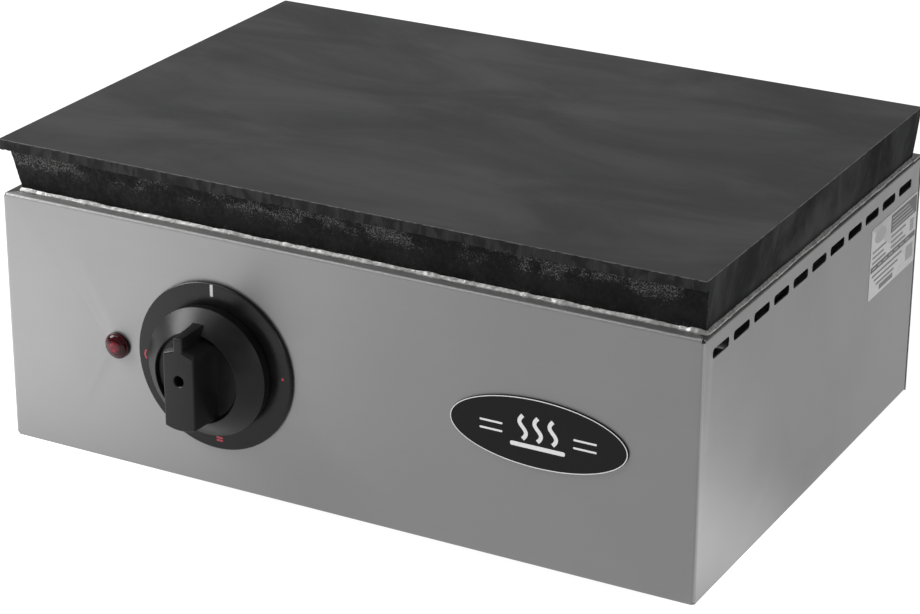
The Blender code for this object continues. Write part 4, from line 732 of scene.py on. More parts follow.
def lens_plastic(base):
    """Clear red plastic over a ribbed reflector: a painted glow in its middle and faint darker rings round
    it.
    """
    made = Finish("red lens", base, 0.08, 0.0, Specular_IOR_Level=0.22)
    here = made.place(offset=(-LAMP_AXIS.x, 0, -LAMP_AXIS.z))
    radius = made.node("ShaderNodeVectorMath", {0: here, 1: (1, 0, 1)}, operation="MULTIPLY").outputs[0]
    radius = made.node("ShaderNodeVectorMath", {0: radius}, operation="LENGTH").outputs["Value"]
    wave = made.math("SINE", made.math("MULTIPLY", radius, 2 * math.pi / 0.0016))
    rings = made.blend(made.ramp(wave, -0.6, 0.8), shade(base, 0.10), shade(base, 0.32))
    # painted light: the middle of the lens is painted brighter, as a glow, though the lens gives no light
    painted_glow_mask = made.ramp(radius, 0.0040, 0.0016)
    facets = made.noise(500, detail=2)
    # the bright colour of the painted glow
    glowing = made.blend(made.ramp(facets, 0.40, 0.65), shade(base, 0.7), shade(base, 2.2))
    made.feed("Base Color", made.blend(painted_glow_mask, rings, glowing))
    return made.material


def enamel(base):
    made = Finish("badge enamel", base, 0.28, 0.0, Specular_IOR_Level=0.12)
    haze = made.noise(180, detail=4)
    specks = made.ramp(made.cells(1200), 0.03, 0.08, 1.0, 0.0)
    few = made.ramp(made.noise(300, detail=1), 0.60, 0.70)
    made.feed("Base Color", made.blend(made.math("MULTIPLY", specks, few), base, (0.10, 0.10, 0.10)))
    made.feed("Roughness", made.ramp(haze, 0.3, 0.7, 0.18, 0.30))
    return made.material


def label_film(base):
    made = Finish("label film", base, 0.55, 0.0)
    fibres = made.noise(700, (1, 0.3, 1), detail=3)
    rubs = made.noise(90, detail=4)
    made.feed("Base Color", made.blend(made.ramp(rubs, 0.5, 0.75, 0.0, 0.5), base, shade(base, 0.78)))
    made.feed("Roughness", made.ramp(fibres, 0.3, 0.7, 0.34, 0.46))
    made.feed("Normal", made.bump(fibres, 0.00002, 0.3))
    return made.material


def rubber(base):
    made = Finish("rubber", base, 0.78)
    bloom = made.noise(240, detail=4)
    made.feed("Base Color", made.blend(made.ramp(bloom, 0.5, 0.75, 0.0, 0.6), base, shade(base, 2.6)))
    made.feed("Normal", made.bump(made.noise(2600, detail=3), 0.0001, 0.6))
    return made.material


def mineral_wool():
    base = (0.50, 0.47, 0.36)
    made = Finish("mineral wool", base, 0.95, 0.0, Sheen_Weight=0.2)
    fibres = made.noise(260, (1, 1, 5), detail=8, roughness=0.75, distortion=2.5)
    made.feed("Base Color", made.blend(made.ramp(fibres, 0.35, 0.65), shade(base, 0.55), shade(base, 1.25)))
    made.feed("Normal", made.bump(fibres, 0.002, 1.0))
    return made.material


def ceramic():
    base = (0.72, 0.70, 0.64)
    made = Finish("terminal ceramic", base, 0.35, 0.0, Coat_Weight=0.3)
    stains = made.noise(220, detail=5)
    made.feed("Base Color", made.blend(made.ramp(stains, 0.50, 0.75, 0.0, 0.6), base, (0.50, 0.45, 0.36)))
    made.feed("Normal", made.bump(made.noise(1200), 0.00005, 0.4))
    return made.material


def woven_sleeve(name, base, weave):
    """Wire insulation. Weave is the depth of its braid, and 0 for plain plastic."""
    made = Finish(name, base, 0.55 if weave else 0.38)
    strands = made.cells(1500)
    tone = made.noise(300, detail=3)
    made.feed("Base Color", made.blend(made.ramp(tone, 0.35, 0.7), shade(base, 0.8), shade(base, 1.15)))
    made.feed("Normal", made.bump(strands if weave else tone, weave or 0.00002, 0.8))
    return made.material


# ================================================================ cooking plate
def relief(point, size, seed):
    """Fractal noise from about -1 to 1 at a point, for features of that size."""
    return noise.fractal(Vector(point) / size + Vector((seed, seed * 0.7, seed * 1.3)), 0.9, 2.1, 4)


def plate_sides(settings, height):
    """How far the left, right, front and rear sides stand inside the plate's box at a height."""
    full = PLATE_HIGH.z - PLATE_LOW.z
    lip_bottom = full - settings.lip_height
    ground = settings.ground_draft * (full - height) / full
    if height >= lip_bottom:
        return 0.0, ground, 0.0, ground
    step = settings.lip_step + settings.draft * (lip_bottom - height) / lip_bottom
    return step, ground, step, ground


def plate_ring(settings, height, inset=0.0):
    """Points round the plate at one height, the same number at every height, and which side each is on."""
    left, right, front, rear = (amount + inset for amount in plate_sides(settings, height))
    low = (PLATE_LOW.x + left, PLATE_LOW.y + front)
    high = (PLATE_HIGH.x - right, PLATE_HIGH.y - rear)
    radius = settings.corner_radius
    corners = (
        ((high[0] - radius, low[1] + radius), -90),
        ((high[0] - radius, high[1] - radius), 0),
        ((low[0] + radius, high[1] - radius), 90),
        ((low[0] + radius, low[1] + radius), 180),
    )
    sides = ("right", "rear", "left", "front")
    points, names = [], []
    for i, (centre, first) in enumerate(corners):
        bend = arc(centre, radius, first, first + 90, 4)
        points += bend
        names += [sides[i - 1]] * 2 + [sides[i]] * 3
        following, angle = corners[(i + 1) % 4]
        start = np.array(bend[-1])
        end = np.array(arc(following, radius, angle, angle + 90, 1)[0])
        long = (PLATE_HIGH - PLATE_LOW)[1 if i % 2 == 0 else 0]
        steps = round(long / settings.grid)
        for step in range(1, steps):
            points.append(tuple(start + (end - start) * step / steps))
            names.append(sides[i])
    return points, names


def plate_levels(settings):
    """Heights over the underside, close together on the cast skin and round the edge of the top."""
    full = PLATE_HIGH.z - PLATE_LOW.z
    lip_bottom = full - settings.lip_height
    cast = [lip_bottom * step / 26 for step in range(26)]
    step_out = [lip_bottom - 0.0005, lip_bottom - 0.0001, lip_bottom, lip_bottom + 0.0004]
    lip = [lip_bottom + (full - lip_bottom) * share for share in (0.2, 0.4, 0.6, 0.8)]
    return [(height, 0.0) for height in cast + step_out + lip]


def cast_point(settings, point, side, height, full):
    """A point of the plate's side, moved as the sand mould and the grinding left it."""
    x, y = point
    z = PLATE_LOW.z + height
    lip_bottom = full - settings.lip_height
    out = {"left": (-1, 0), "right": (1, 0), "front": (0, -1), "rear": (0, 1)}[side]
    if side in ("right", "rear"):
        wave = 0.00008 * relief((x, y, z), 0.006, 3) - 0.00008
        return x + out[0] * wave, y + out[1] * wave, z
    along = Vector((x, y, 0))
    near_lip = max(0.0, 1 - abs(height - lip_bottom) / 0.0024)
    wander = settings.lip_wander * (relief(along, 0.011, 5) * 0.7 + relief(along, 0.0025, 9) * 0.45)
    z += wander * near_lip
    if height < lip_bottom:
        bumps = relief((x, y, z), 0.0034, 1) * 0.8 + relief((x, y, z), 0.0011, 2) * 0.55
        swell = relief((x, y, z), 0.03, 7)
        depth = settings.cast_relief * (bumps + swell) * min(1.0, 0.35 + (lip_bottom - height) / 0.002)
    else:
        depth = 0.00005 * relief((x, y, 0), 0.0016, 4) + 0.00009 * relief((x, y, z), 0.007, 6) - 0.00008
        depth -= 0.00025 * near_lip * max(0.0, relief(along, 0.004, 11))
    return x + out[0] * depth, y + out[1] * depth, z


def build_plate(settings):
    """The cooking plate: rings of points up its sides, its top, and its underside with the hollows."""
    full = PLATE_HIGH.z - PLATE_LOW.z
    edge = settings.edge_radius
    levels = plate_levels(settings)
    for step in range(5):
        angle = math.pi / 2 * step / 4
        levels.append((full - edge + edge * math.sin(angle), edge * (1 - math.cos(angle))))
    bm = bmesh.new()
    rings, sides = [], None
    for height, inset in levels:
        points, sides = plate_ring(settings, height, inset)
        if height < full - edge * 0.9:
            points = [cast_point(settings, p, s, height, full) for p, s in zip(points, sides)]
        else:
            points = [(x, y, PLATE_LOW.z + height) for x, y in points]
        rings.append(points)
    inner, _ = plate_ring(settings, full, edge + 0.0012)
    rings.append([(x, y, PLATE_HIGH.z) for x, y in inner])
    made = add_rings(bm, rings, caps=False)
    bm.faces.new(made[-1])
    bm.verts.ensure_lookup_table()
    bm.faces.ensure_lookup_table()
    per_ring = len(sides)
    lip_level = next(i for i, level in enumerate(levels) if level[0] >= full - settings.lip_height)
    for index, face in enumerate(bm.faces):
        level, spot = divmod(index, per_ring)
        if level >= len(levels) - 3:
            face.material_index = 0
        elif sides[spot] in ("right", "rear"):
            face.material_index = 3
        else:
            face.material_index = 1 if level >= lip_level else 2
    add_underside(bm, made[0])
    mesh = mesh_from("cooking_plate", bm, sharp=50, weld=0)
    finishes = [
        ground_iron(settings.top_colour),
        lip_iron(shade(settings.top_colour, 0.95)),
        cast_iron(settings.cast_colour),
        ground_side_iron(shade(settings.top_colour, 1.45)),
    ]
    new_piece("cooking_plate", mesh, finishes, "casing", ["hot_plate"])


def add_underside(bm, rim):
    """The plate's underside, with a pocket over each heating element and a hole over each stud."""
    across, along = POCKET_MARGINS
    hollows = []
    for number in (1, 2, 3):
        low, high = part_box(f"heating_element_{number}")
        corners = ((low.x - across, low.y - along), (high.x + across, high.y + along))
        hollows.append((box_outline(*corners, POCKET_CORNER, 5), high.z + POCKET_ROOF_GAP))
    for number in (1, 2, 3, 4):
        low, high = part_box(f"plate_stud_{number}")
        centre = ((low.x + high.x) / 2, (low.y + high.y) / 2)
        hollows.append((circle((high.x - low.x) / 2 + GAP, 24, centre), high.z + GAP))
    loops = []
    for outline, roof in hollows:
        lower = [bm.verts.new((x, y, PLATE_LOW.z)) for x, y in outline]
        upper = [bm.verts.new((x, y, roof)) for x, y in outline]
        for i in range(len(lower)):
            j = (i + 1) % len(lower)
            bm.faces.new((lower[i], lower[j], upper[j], upper[i])).material_index = 2
        bm.faces.new(upper).material_index = 2
        loops.append(lower)
    for vert in rim:
        vert.co.z = PLATE_LOW.z
    for face in fill_with_holes(bm, rim, loops, (0, 0, -1)):
        face.material_index = 2


def build_bead(settings):
    """The sealant squeezed out round the plate's foot, smoothed by a finger and lumpiest at the right."""
    foot, _ = plate_ring(settings, settings.bead_height * 0.4)
    foot = np.array(foot)
    outward = np.roll(foot, -1, axis=0) - np.roll(foot, 1, axis=0)
    outward = np.stack([outward[:, 1], -outward[:, 0]], 1)
    outward /= np.linalg.norm(outward, axis=1)[:, None]
    section = [(-0.0004, 0), (1.0, 0, 0.05), (0.93, 0.32, 0.25)]
    section = rounded(section + [(0.30, 0.80, 0.25), (0.0, 1.0, 0.05), (-0.30, 1.0)], steps=3)
    low = SEAL_LOW.z - 0.0002
    rear_low = PANEL_HIGH.z + 0.0001
    corner = Vector((PLATE_HIGH.x, PLATE_LOW.y, low))
    rings = []
    for (x, y), (out_x, out_y) in zip(foot, outward):
        here = Vector((x, y, 0))
        messy = max(0.0, 1 - (here - corner).xy.length / 0.028)
        lump = relief(here, 0.007, 8)
        blob = max(0.0, relief(here, 0.012, 21) - 0.30) + messy * (0.5 + lump)
        wide = settings.bead_width * (0.72 + 0.20 * relief(here, 0.03, 3) + 0.12 * lump)
        wide += settings.bead_lumps * blob
        wide = min(max(wide, 0.0007), SEAL_HIGH.x - PLATE_HIGH.x + 0.0052)
        high = settings.bead_height * (0.72 + 0.15 * relief(here, 0.02, 5) + 0.08 * lump)
        high += settings.bead_lumps * 0.7 * blob
        floor = rear_low if y > PANEL_LOW.y - 0.0002 else low
        ring = []
        for across, up in section:
            crease = relief((x + out_x * across * 0.002, y + out_y * across * 0.002, up * 0.003), 0.0030, 6)
            push = settings.bead_lumps * (0.07 + 0.15 * messy) * crease * (0 < across and 0.05 < up)
            reach = wide * across + push
            ring.append((x + out_x * reach, y + out_y * reach, max(floor, low + high * up + push)))
        rings.append(ring)
    bm = bmesh.new()
    add_rings(bm, rings + rings[:1], caps=False)
    mesh = mesh_from("sealant_bead", bm, sharp=60, weld=1e-6)
    finish = sealant(settings.bead_colour)
    new_piece("sealant_bead", mesh, finish, "casing", ["plate_seal"])


# ================================================================ casing
def vent_outlines(settings):
    """The side vents, as (y, z) outlines."""
    first = FRONT + settings.vent_front_margin
    span = REAR - FRONT - settings.vent_front_margin - settings.vent_rear_margin
    pitch = span / (settings.vent_count - 1)
    long = pitch - settings.vent_bridge
    height = TOP - settings.vent_drop
    centres = [(first + i * pitch, height) for i in range(settings.vent_count)]
    return [slot_outline(centre, long, settings.vent_height, settings.vent_corner) for centre in centres]


def screw_spots(nodes):
    return [(middle(node).x, middle(node).z) for node in nodes]


def fold_profile(settings):
    """The casing's section as (inward, height), from the bottom fold's inner edge up to the top fold's."""
    radius = settings.bend_radius
    lower = [(settings.bottom_flange, BOTTOM), (0, BOTTOM, radius)]
    return rounded(lower + [(0, TOP, radius), (settings.top_flange, TOP)], steps=BEND_STEPS)


def fold_panel(bm, settings, place, ends, holes, normal):
    """One wall with its two folds. Returns the wall's end vertices, which the upright corners share.

    place(along, inward, height) gives a point, and ends(inward) where the panel starts and stops.
    """
    shares = (0, 0.012, 0.03, 0.08, 0.33, 0.67, 0.92, 0.97, 0.988, 1)
    rows = []
    for inward, height in fold_profile(settings):
        first, last = ends(inward)
        spots = [first + (last - first) * share for share in shares]
        rows.append([bm.verts.new(place(along, inward, height)) for along in spots])
    wall_row = BEND_STEPS + 1
    for index, (lower, upper) in enumerate(zip(rows, rows[1:])):
        if index == wall_row:
            continue
        for i in range(len(lower) - 1):
            bm.faces.new((lower[i], lower[i + 1], upper[i + 1], upper[i]))
    low_row, high_row = rows[wall_row], rows[wall_row + 1]
    loops = [[bm.verts.new(place(along, 0, height)) for along, height in outline] for outline in holes]
    fill_with_holes(bm, low_row + high_row[::-1], loops, normal)
    return (low_row[0], high_row[0]), (low_row[-1], high_row[-1])


def upright_corner(bm, first, last, centre, start, end):
    """A quarter bend between two angles, from one wall's end to another's or, without one, to its own."""
    radius = math.dist(first[0].co.xy, centre)
    bend = arc(centre, radius, start, end, BEND_STEPS)[1:]
    columns = [first]
    for x, y in bend[:-1] if last else bend:
        columns.append(tuple(bm.verts.new((x, y, vert.co.z)) for vert in first))
    if last:
        columns.append(last)
    for (low, high), (next_low, next_high) in zip(columns, columns[1:]):
        bm.faces.new((low, next_low, next_high, high))
    return columns[-1]


def lay_brushing(mesh):
    """A UV map whose U runs with the brushing: level on the walls, and along each fold."""
    layer = mesh.uv_layers.new(name="brushing")
    for face in mesh.polygons:
        centre, normal = face.center, face.normal
        inward = {
            "front": centre.y - FRONT,
            "rear": REAR - centre.y,
            "left": centre.x - LEFT,
            "right": RIGHT - centre.x,
        }
        side = min(inward, key=inward.get)
        upright_bend = abs(normal.x) > 0.1 and abs(normal.y) > 0.1
        for index in face.loop_indices:
            x, y, z = mesh.vertices[mesh.loops[index].vertex_index].co
            if upright_bend:
                place = (x + math.copysign(1, -normal.x * normal.y) * y, z)
            elif side in ("front", "rear"):
                place = (x, z + (y if side == "front" else -y))
            else:
                place = (y, z + (x if side == "left" else -x))
            layer.data[index].uv = place


def side_place(x, inner):
    """Places a side wall's points. Inner is 1 where the casing's inside lies towards +X, or -1."""
    return lambda along, inward, height: (x + inner * inward, along, height)


def build_shell(settings, steel):
    """The front and both sides as one folded sheet, with holes, vents and returns at the rear."""
    radius = settings.bend_radius
    mitre = 0.00015

    def setback(inward):
        return max(radius, inward + mitre)

    def front_place(along, inward, height):
        lift = 0.0
        if height > TOP - radius / 2:
            near = max(0.0, 1 - (RIGHT - along) / 0.0085)
            lift = settings.corner_curl * near**2 * min(1.0, inward / 0.002)
        return (along, FRONT + inward, height + lift)

    def front_ends(inward):
        return LEFT + setback(inward), RIGHT - setback(inward)

    def side_ends(inward):
        return FRONT + setback(inward), SHELL_REAR - (radius if inward <= radius else 0)

    bm = bmesh.new()
    clear = 2 * GAP
    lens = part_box("indicator_body")
    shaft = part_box("switch_shaft")
    front_holes = [
        circle((lens[1].z - lens[0].z) / 2 + clear, 32, (LAMP_AXIS.x, LAMP_AXIS.z)),
        circle((shaft[1].x - shaft[0].x) / 2 + SHAFT_HOLE_MARGIN, 32, (KNOB_AXIS.x, KNOB_AXIS.z)),
    ]
    for x, z in screw_spots(("switch_screw_1", "switch_screw_2")):
        front_holes.append(circle(SWITCH_SCREW_HOLE, 16, (x, z)))
    front = fold_panel(bm, settings, front_place, front_ends, front_holes, (0, -1, 0))
    vents = vent_outlines(settings)
    right = fold_panel(bm, settings, side_place(RIGHT, -1), side_ends, vents, (1, 0, 0))
    left = fold_panel(bm, settings, side_place(LEFT, 1), side_ends, vents, (-1, 0, 0))
    upright_corner(bm, front[1], right[0], (RIGHT - radius, FRONT + radius), -90, 0)
    upright_corner(bm, left[0], front[0], (LEFT + radius, FRONT + radius), 180, 270)
    for x, side, wall, start in ((RIGHT, 1, right[1], 0), (LEFT, -1, left[1], 180)):
        centre = (x - side * radius, SHELL_REAR - radius)
        turn = upright_corner(bm, wall, None, centre, start, 90)
        inner = [bm.verts.new((x - side * settings.rear_return, end.co.y, end.co.z)) for end in turn]
        bm.faces.new((turn[0], inner[0], inner[1], turn[1]))
    mesh = mesh_from("casing_sheet", bm, sharp=45, weld=0)
    if sum(face.normal.z * face.area for face in mesh.polygons if face.center.z > TOP - 0.0001) < 0:
        mesh.flip_normals()
    lay_brushing(mesh)
    piece = new_piece("casing_sheet", mesh, steel, "casing", ["casing_shell"])
    thicken(piece, settings.sheet)


def thicken(piece, thickness):
    """Thickens a sheet inward, eases its edges and keeps its walls flat."""
    sheet = piece.modifiers.new("sheet", "SOLIDIFY")
    sheet.thickness = thickness
    sheet.offset = -1
    sheet.use_even_offset = True
    sheet.use_quality_normals = True
    eased = piece.modifiers.new("eased edges", "BEVEL")
    eased.width = 0.00012
    eased.segments = 2
    eased.limit_method = "ANGLE"
    eased.angle_limit = math.radians(60)
    eased.harden_normals = False
    weighted = piece.modifiers.new("flat walls", "WEIGHTED_NORMAL")
    weighted.keep_sharp = True
    weighted.weight = 100


def build_rear_panel(settings, steel):
    """The rear panel, folded over the casing's top, with its vents and holes."""
    radius = settings.rear_bend_radius
    fold = [(REAR - PANEL_LOW.y, PANEL_HIGH.z), (0, PANEL_HIGH.z, radius), (0, BOTTOM)]
    profile = rounded(fold, steps=BEND_STEPS)
    bm = bmesh.new()
    shares = (0, 0.02, 0.98, 1)
    rows = []
    for inward, height in profile:
        xs = [PANEL_LOW.x + (PANEL_HIGH.x - PANEL_LOW.x) * share for share in shares]
        rows.append([bm.verts.new((x, REAR - inward, height)) for x in xs])
    for lower, upper in zip(rows[:-1], rows[1:-1]):
        for i in range(len(shares) - 1):
            bm.faces.new((lower[i], lower[i + 1], upper[i + 1], upper[i]))
    first = PANEL_LOW.x + settings.rear_vent_margin
    pitch = (PANEL_HIGH.x - PANEL_LOW.x - 2 * settings.rear_vent_margin) / (settings.rear_vent_count - 1)
    height = TOP - settings.vent_drop
    long = pitch - settings.rear_vent_bridge
    centres = [(first + i * pitch, height) for i in range(settings.rear_vent_count)]
    holes = [slot_outline(centre, long, settings.vent_height, settings.vent_corner) for centre in centres]
    nut_low, nut_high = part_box("gland_nut")
    holes.append(circle((nut_high.z - nut_low.z) / 2 - 0.0019, 40, (GLAND_AXIS.x, GLAND_AXIS.z)))
    holes.append(circle(EARTH_HOLE, 20, (EARTH_AXIS.x, EARTH_AXIS.z)))
    for x, z in screw_spots([f"rear_panel_screw_{number}" for number in (1, 2, 3, 4)]):
        holes.append(circle(REAR_SCREW_HOLE, 16, (x, z)))
    loops = [[bm.verts.new((x, REAR, z)) for x, z in outline] for outline in holes]
    fill_with_holes(bm, rows[-2] + rows[-1][::-1], loops, (0, 1, 0))
    mesh = mesh_from("rear_panel_sheet", bm, sharp=45, weld=0)
    if sum(face.normal.y * face.area for face in mesh.polygons) < 0:
        mesh.flip_normals()
    lay_brushing(mesh)
    piece = new_piece("rear_panel_sheet", mesh, steel, "casing", ["rear_panel"])
    thicken(piece, settings.sheet)


# ================================================================ screws, gland, earth stud and feet
def cross_recess_screw(name, shank, head, head_height, below, place):
    """A pan-head screw seated at local Z = 0, with its shank below and a cross recess in its head."""
    profile = rounded(
        [(0, head_height), (head * 0.95, head_height * 0.93, head * 0.45), (head, 0, 0.0003), (shank, 0)]
        + [(shank, -below + shank, 0.0003), (shank * 0.35, -below), (0, -below)]
    )
    base = turned(name, profile, None, segments=40)
    blades = []
    outline = box_outline((-head * 0.56, -head * 0.13), (head * 0.56, head * 0.13), head * 0.06, 3)
    rings = [
        [(x * 0.35, y * 0.8, head_height * 0.25) for x, y in outline],
        [(x, y, head_height * 1.3) for x, y in outline],
    ]
    for turn in (0, 90):
        blade = lofted(f"{name} blade {turn}", rings, Matrix.Rotation(math.radians(turn), 4, "Z"))
        blades.append((blade, "DIFFERENCE"))
    mesh = combined(name, base, blades)
    mesh.transform(place)
    return mesh


def hex_nut(name, across_flats, low, high, bore, place):
    """A hexagon nut with turned-off corners."""
    radius = across_flats / math.sqrt(3)
    wide, narrow, slope = radius * 1.02, radius * 0.90, radius * 0.10
    profile = [(0, low), (narrow, low), (wide, low + slope), (wide, high - slope), (narrow, high), (0, high)]
    body = turned(name + " corners", profile, None, segments=72)
    hexagon = circle(radius, 6)
    prism = lofted(name + " prism", [[(x, y, z) for x, y in hexagon] for z in (low - 0.001, high + 0.001)])
    reach = (high - low) * 2
    drill = [(0, low - reach), (bore, low - reach), (bore, high + reach), (0, high + reach)]
    hole = turned(name + " bore", drill, None, segments=40)
    mesh = combined(name, body, [(prism, "INTERSECT"), (hole, "DIFFERENCE")])
    mesh.transform(place)
    return mesh


def build_rear_fittings(plastic, brass, zinc):
    """The rear panel's screws, the cable gland with its ribbed cap and hexagon collar, and the earth nut."""
    for number in (1, 2, 3, 4):
        node = f"rear_panel_screw_{number}"
        low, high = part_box(node)
        seat = REAR + GAP / 3
        place = facing("rear", (middle(node).x, seat, middle(node).z))
        head = (high.x - low.x) / 2
        mesh = cross_recess_screw(node, REAR_SCREW_SHANK, head, high.y - seat, REAR_SCREW_REACH, place)
        new_piece(f"rear_screw_{number}", mesh, zinc, "casing", [node])
    reach = GLAND_HIGH.y - REAR
    low_end = GLAND_LOW.y - REAR
    bore = GLAND_BORE
    thread = bore + GLAND_THREAD
    flange = (GLAND_HIGH.z - GLAND_LOW.z) - 0.0002
    dome = bore + 0.0047
    mouth = bore + 0.0023
    inside = [(bore, low_end), (thread, low_end, 0.0004), (thread, 0.0005)]
    foot = [(bore + 0.0034, 0.0005), (dome - 0.0004, 0.0005), (dome - 0.0004, 0.0055, 0.0004)]
    cap = [(dome, 0.0060, 0.0003), (dome, reach * 0.55, 0.002), (dome - 0.0006, reach * 0.72, 0.004)]
    lips = [(mouth + 0.0002, reach - 0.0008, 0.001), (bore + 0.0006, reach, 0.0005), (bore, reach - 0.0012)]
    profile = rounded(inside + foot + cap + lips, closed=True)

    def grip_ribs(angle, radius, height):
        on_nut = 0.0062 < height < reach * 0.62 and radius > dome - 0.0003
        return -0.00055 * max(0.0, math.cos(angle * 18)) ** 6 if on_nut else 0.0

    place = facing("rear", GLAND_AXIS)
    body = turned("gland_body", profile, place, segments=216, closed=True, ripple=grip_ribs)
    new_piece("gland_body", body, plastic, "casing", ["cable_gland"])
    collar = hex_nut("gland_collar", flange, 0.0002, 0.0052, bore + 0.0035, place)
    new_piece("gland_collar", collar, plastic, "casing")
    nut_low, nut_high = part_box("earth_nut")
    wide, deep = nut_high.z - nut_low.z, nut_high.y - REAR
    place = facing("rear", EARTH_AXIS)
    nut = hex_nut("earth_nut_turned", wide, 0.0002, deep, EARTH_NUT_BORE, place)
    new_piece("earth_nut_turned", nut, brass, "casing", ["earth_nut"])


def build_feet(settings, zinc):
    """Four turned rubber feet, each with a screw sunk in its tread."""
    finish = rubber(settings.rubber_colour)
    for number in (1, 2, 3, 4):
        node = f"foot_{number}"
        low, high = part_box(node)
        centre = middle(node)
        radius = (high.x - low.x) / 2
        screw_low, screw_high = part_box(f"foot_screw_{number}")
        head = (screw_high.x - screw_low.x) / 2
        recess = screw_low.z + FOOT_SCREW_HEAD
        top = high.z - 0.0001
        profile = rounded(
            [(FOOT_SCREW_HOLE, top), (radius, top, 0.0006), (radius, high.z - 0.0022, 0.0005)]
            + [(radius * 0.88, 0.0012, 0.001), (radius * 0.86, 0.0, 0.0005), (radius * 0.70, 0.0, 0.0003)]
            + [(radius * 0.69, 0.0005), (radius * 0.62, 0.0005), (radius * 0.61, 0.0, 0.0002)]
            + [(head + 0.0017, 0, 0.0004), (head + 0.0017, recess, 0.0005), (FOOT_SCREW_HOLE, recess)],
            closed=True,
            steps=4,
        )
        place = Matrix.Translation((centre.x, centre.y, 0))
        mesh = turned(f"rubber_foot_{number}", profile, place, 72, closed=True)
        new_piece(f"rubber_foot_{number}", mesh, finish, "casing", [node])
        seat = recess - 0.0001
        place = facing("down", (centre.x, centre.y, seat))
        size = (FOOT_SCREW_SHANK, head, seat - screw_low.z, screw_high.z - recess)
        mesh = cross_recess_screw(f"foot_fixing_{number}", *size, place)
        new_piece(f"foot_fixing_{number}", mesh, zinc, "casing", [f"foot_screw_{number}"])


# ================================================================ knob, dial and lamp
def grip_outline(settings, height, foot, front):
    """The grip bar at a height: a round lower end, square shoulders with a pointer nib between them."""
    share = (height - foot) / (front - foot)
    width = settings.grip_foot_width + (settings.grip_width - settings.grip_foot_width) * share
    flare = 0.0012 * max(0.0, 1 - share * 3) ** 2
    slope = 0.0013 * max(0.0, 1 - (front - height) / 0.0022)
    edge = 0.0007
    left = max(0.0, height - (front - edge)) / edge
    inset = edge * (1 - math.sqrt(max(0.0, 1 - left * left)))
    half = width / 2 + flare - inset
    below = settings.grip_below + flare - inset
    above = settings.grip_above + flare - inset - slope
    nib = settings.nib_reach + 0.0006 * (1 - share) + flare * 0.3 - inset - slope * 0.35
    nib_half = settings.nib_width / 2 + 0.0004 * (1 - share) + flare * 0.3 - inset
    centre = -below + settings.grip_end_radius
    reach = math.degrees(math.asin(half / settings.grip_end_radius))
    lower = arc((0, centre), settings.grip_end_radius, -90 - reach, -90 + reach, 20)
    corner = 0.0006
    points = [(*lower[0], corner), *lower[1:-1], (*lower[-1], corner)]
    roof = above + 0.0010
    points += [(half, above - 0.0014, corner), (nib_half, roof, 0.0004), (nib_half, nib, corner)]
    points += [(-nib_half, nib, corner), (-nib_half, roof, 0.0004), (-half, above - 0.0014, corner)]
    return [(x, y, height) for x, y in rounded(points, closed=True, steps=4)]


def build_knob(settings, plastic):
    """The heat knob: a turned, dished skirt with a hub, joined to the grip bar, and a blind hole in it."""
    wall = KNOB_WALL
    skirt, edge, back = settings.skirt_radius, settings.skirt_edge, settings.knob_back
    floor = settings.dish_rim - settings.dish_depth
    ceiling = floor - wall
    shaft_low, shaft_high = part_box("switch_shaft")
    shaft = (shaft_high.x - shaft_low.x) / 2 + GAP
    hub = shaft + HUB_WALL
    bore_top = FRONT - shaft_low.y + GAP
    hub_low = back + 0.0018
    rim = settings.dish_radius
    dish = [(0, floor), (rim - 0.0010, floor, 0.0010), (rim, settings.dish_rim, 0.0005)]
    outside = [(skirt, edge, 0.0006), (skirt - 0.0007, back, 0.0004), (skirt - 0.0007 - wall, back, 0.0004)]
    inside = [(skirt - wall, edge - wall / 2, 0.001), (rim, ceiling, 0.002), (hub, ceiling, 0.0006)]
    bore = [(hub, hub_low, 0.0004), (shaft, hub_low, 0.0002), (shaft, bore_top), (0, bore_top)]
    profile = rounded(dish + outside + inside + bore, steps=5)
    base = turned("knob_skirt", profile, None, segments=180)
    front = KNOB_REACH
    foot = floor - 0.0012
    heights = [foot, foot + 0.0006, floor, floor + 0.0003, floor + 0.0008, floor + 0.0016, floor + 0.003]
    heights += [floor + 0.006, front - 0.0045, front - 0.003, front - 0.0016, front - 0.0007]
    heights += [front - 0.0007 * share for share in (0.75, 0.5, 0.3, 0.14, 0.04, 0.0)]
    grip = lofted("knob grip", [grip_outline(settings, height, floor, front) for height in heights])
    low = front - settings.dimple_depth
    wide, clear = settings.dimple_radius, front + 0.003
    drill = [(0, low), (wide * 0.9, low, 0.0008), (wide, front - 0.0004)]
    drill += [(wide + 0.0005, front + 0.0001), (wide + 0.0005, clear), (0, clear)]
    spot = Matrix.Translation((0, settings.dimple_above, 0))
    dimple = turned("knob dimple", rounded(drill), spot, segments=48)
    mesh = combined("heat_knob", base, [(grip, "UNION"), (dimple, "DIFFERENCE")], sharp=32)
    mesh.transform(facing("front", KNOB_AXIS))
    new_piece("heat_knob", mesh, plastic, "knob", ["knob"])


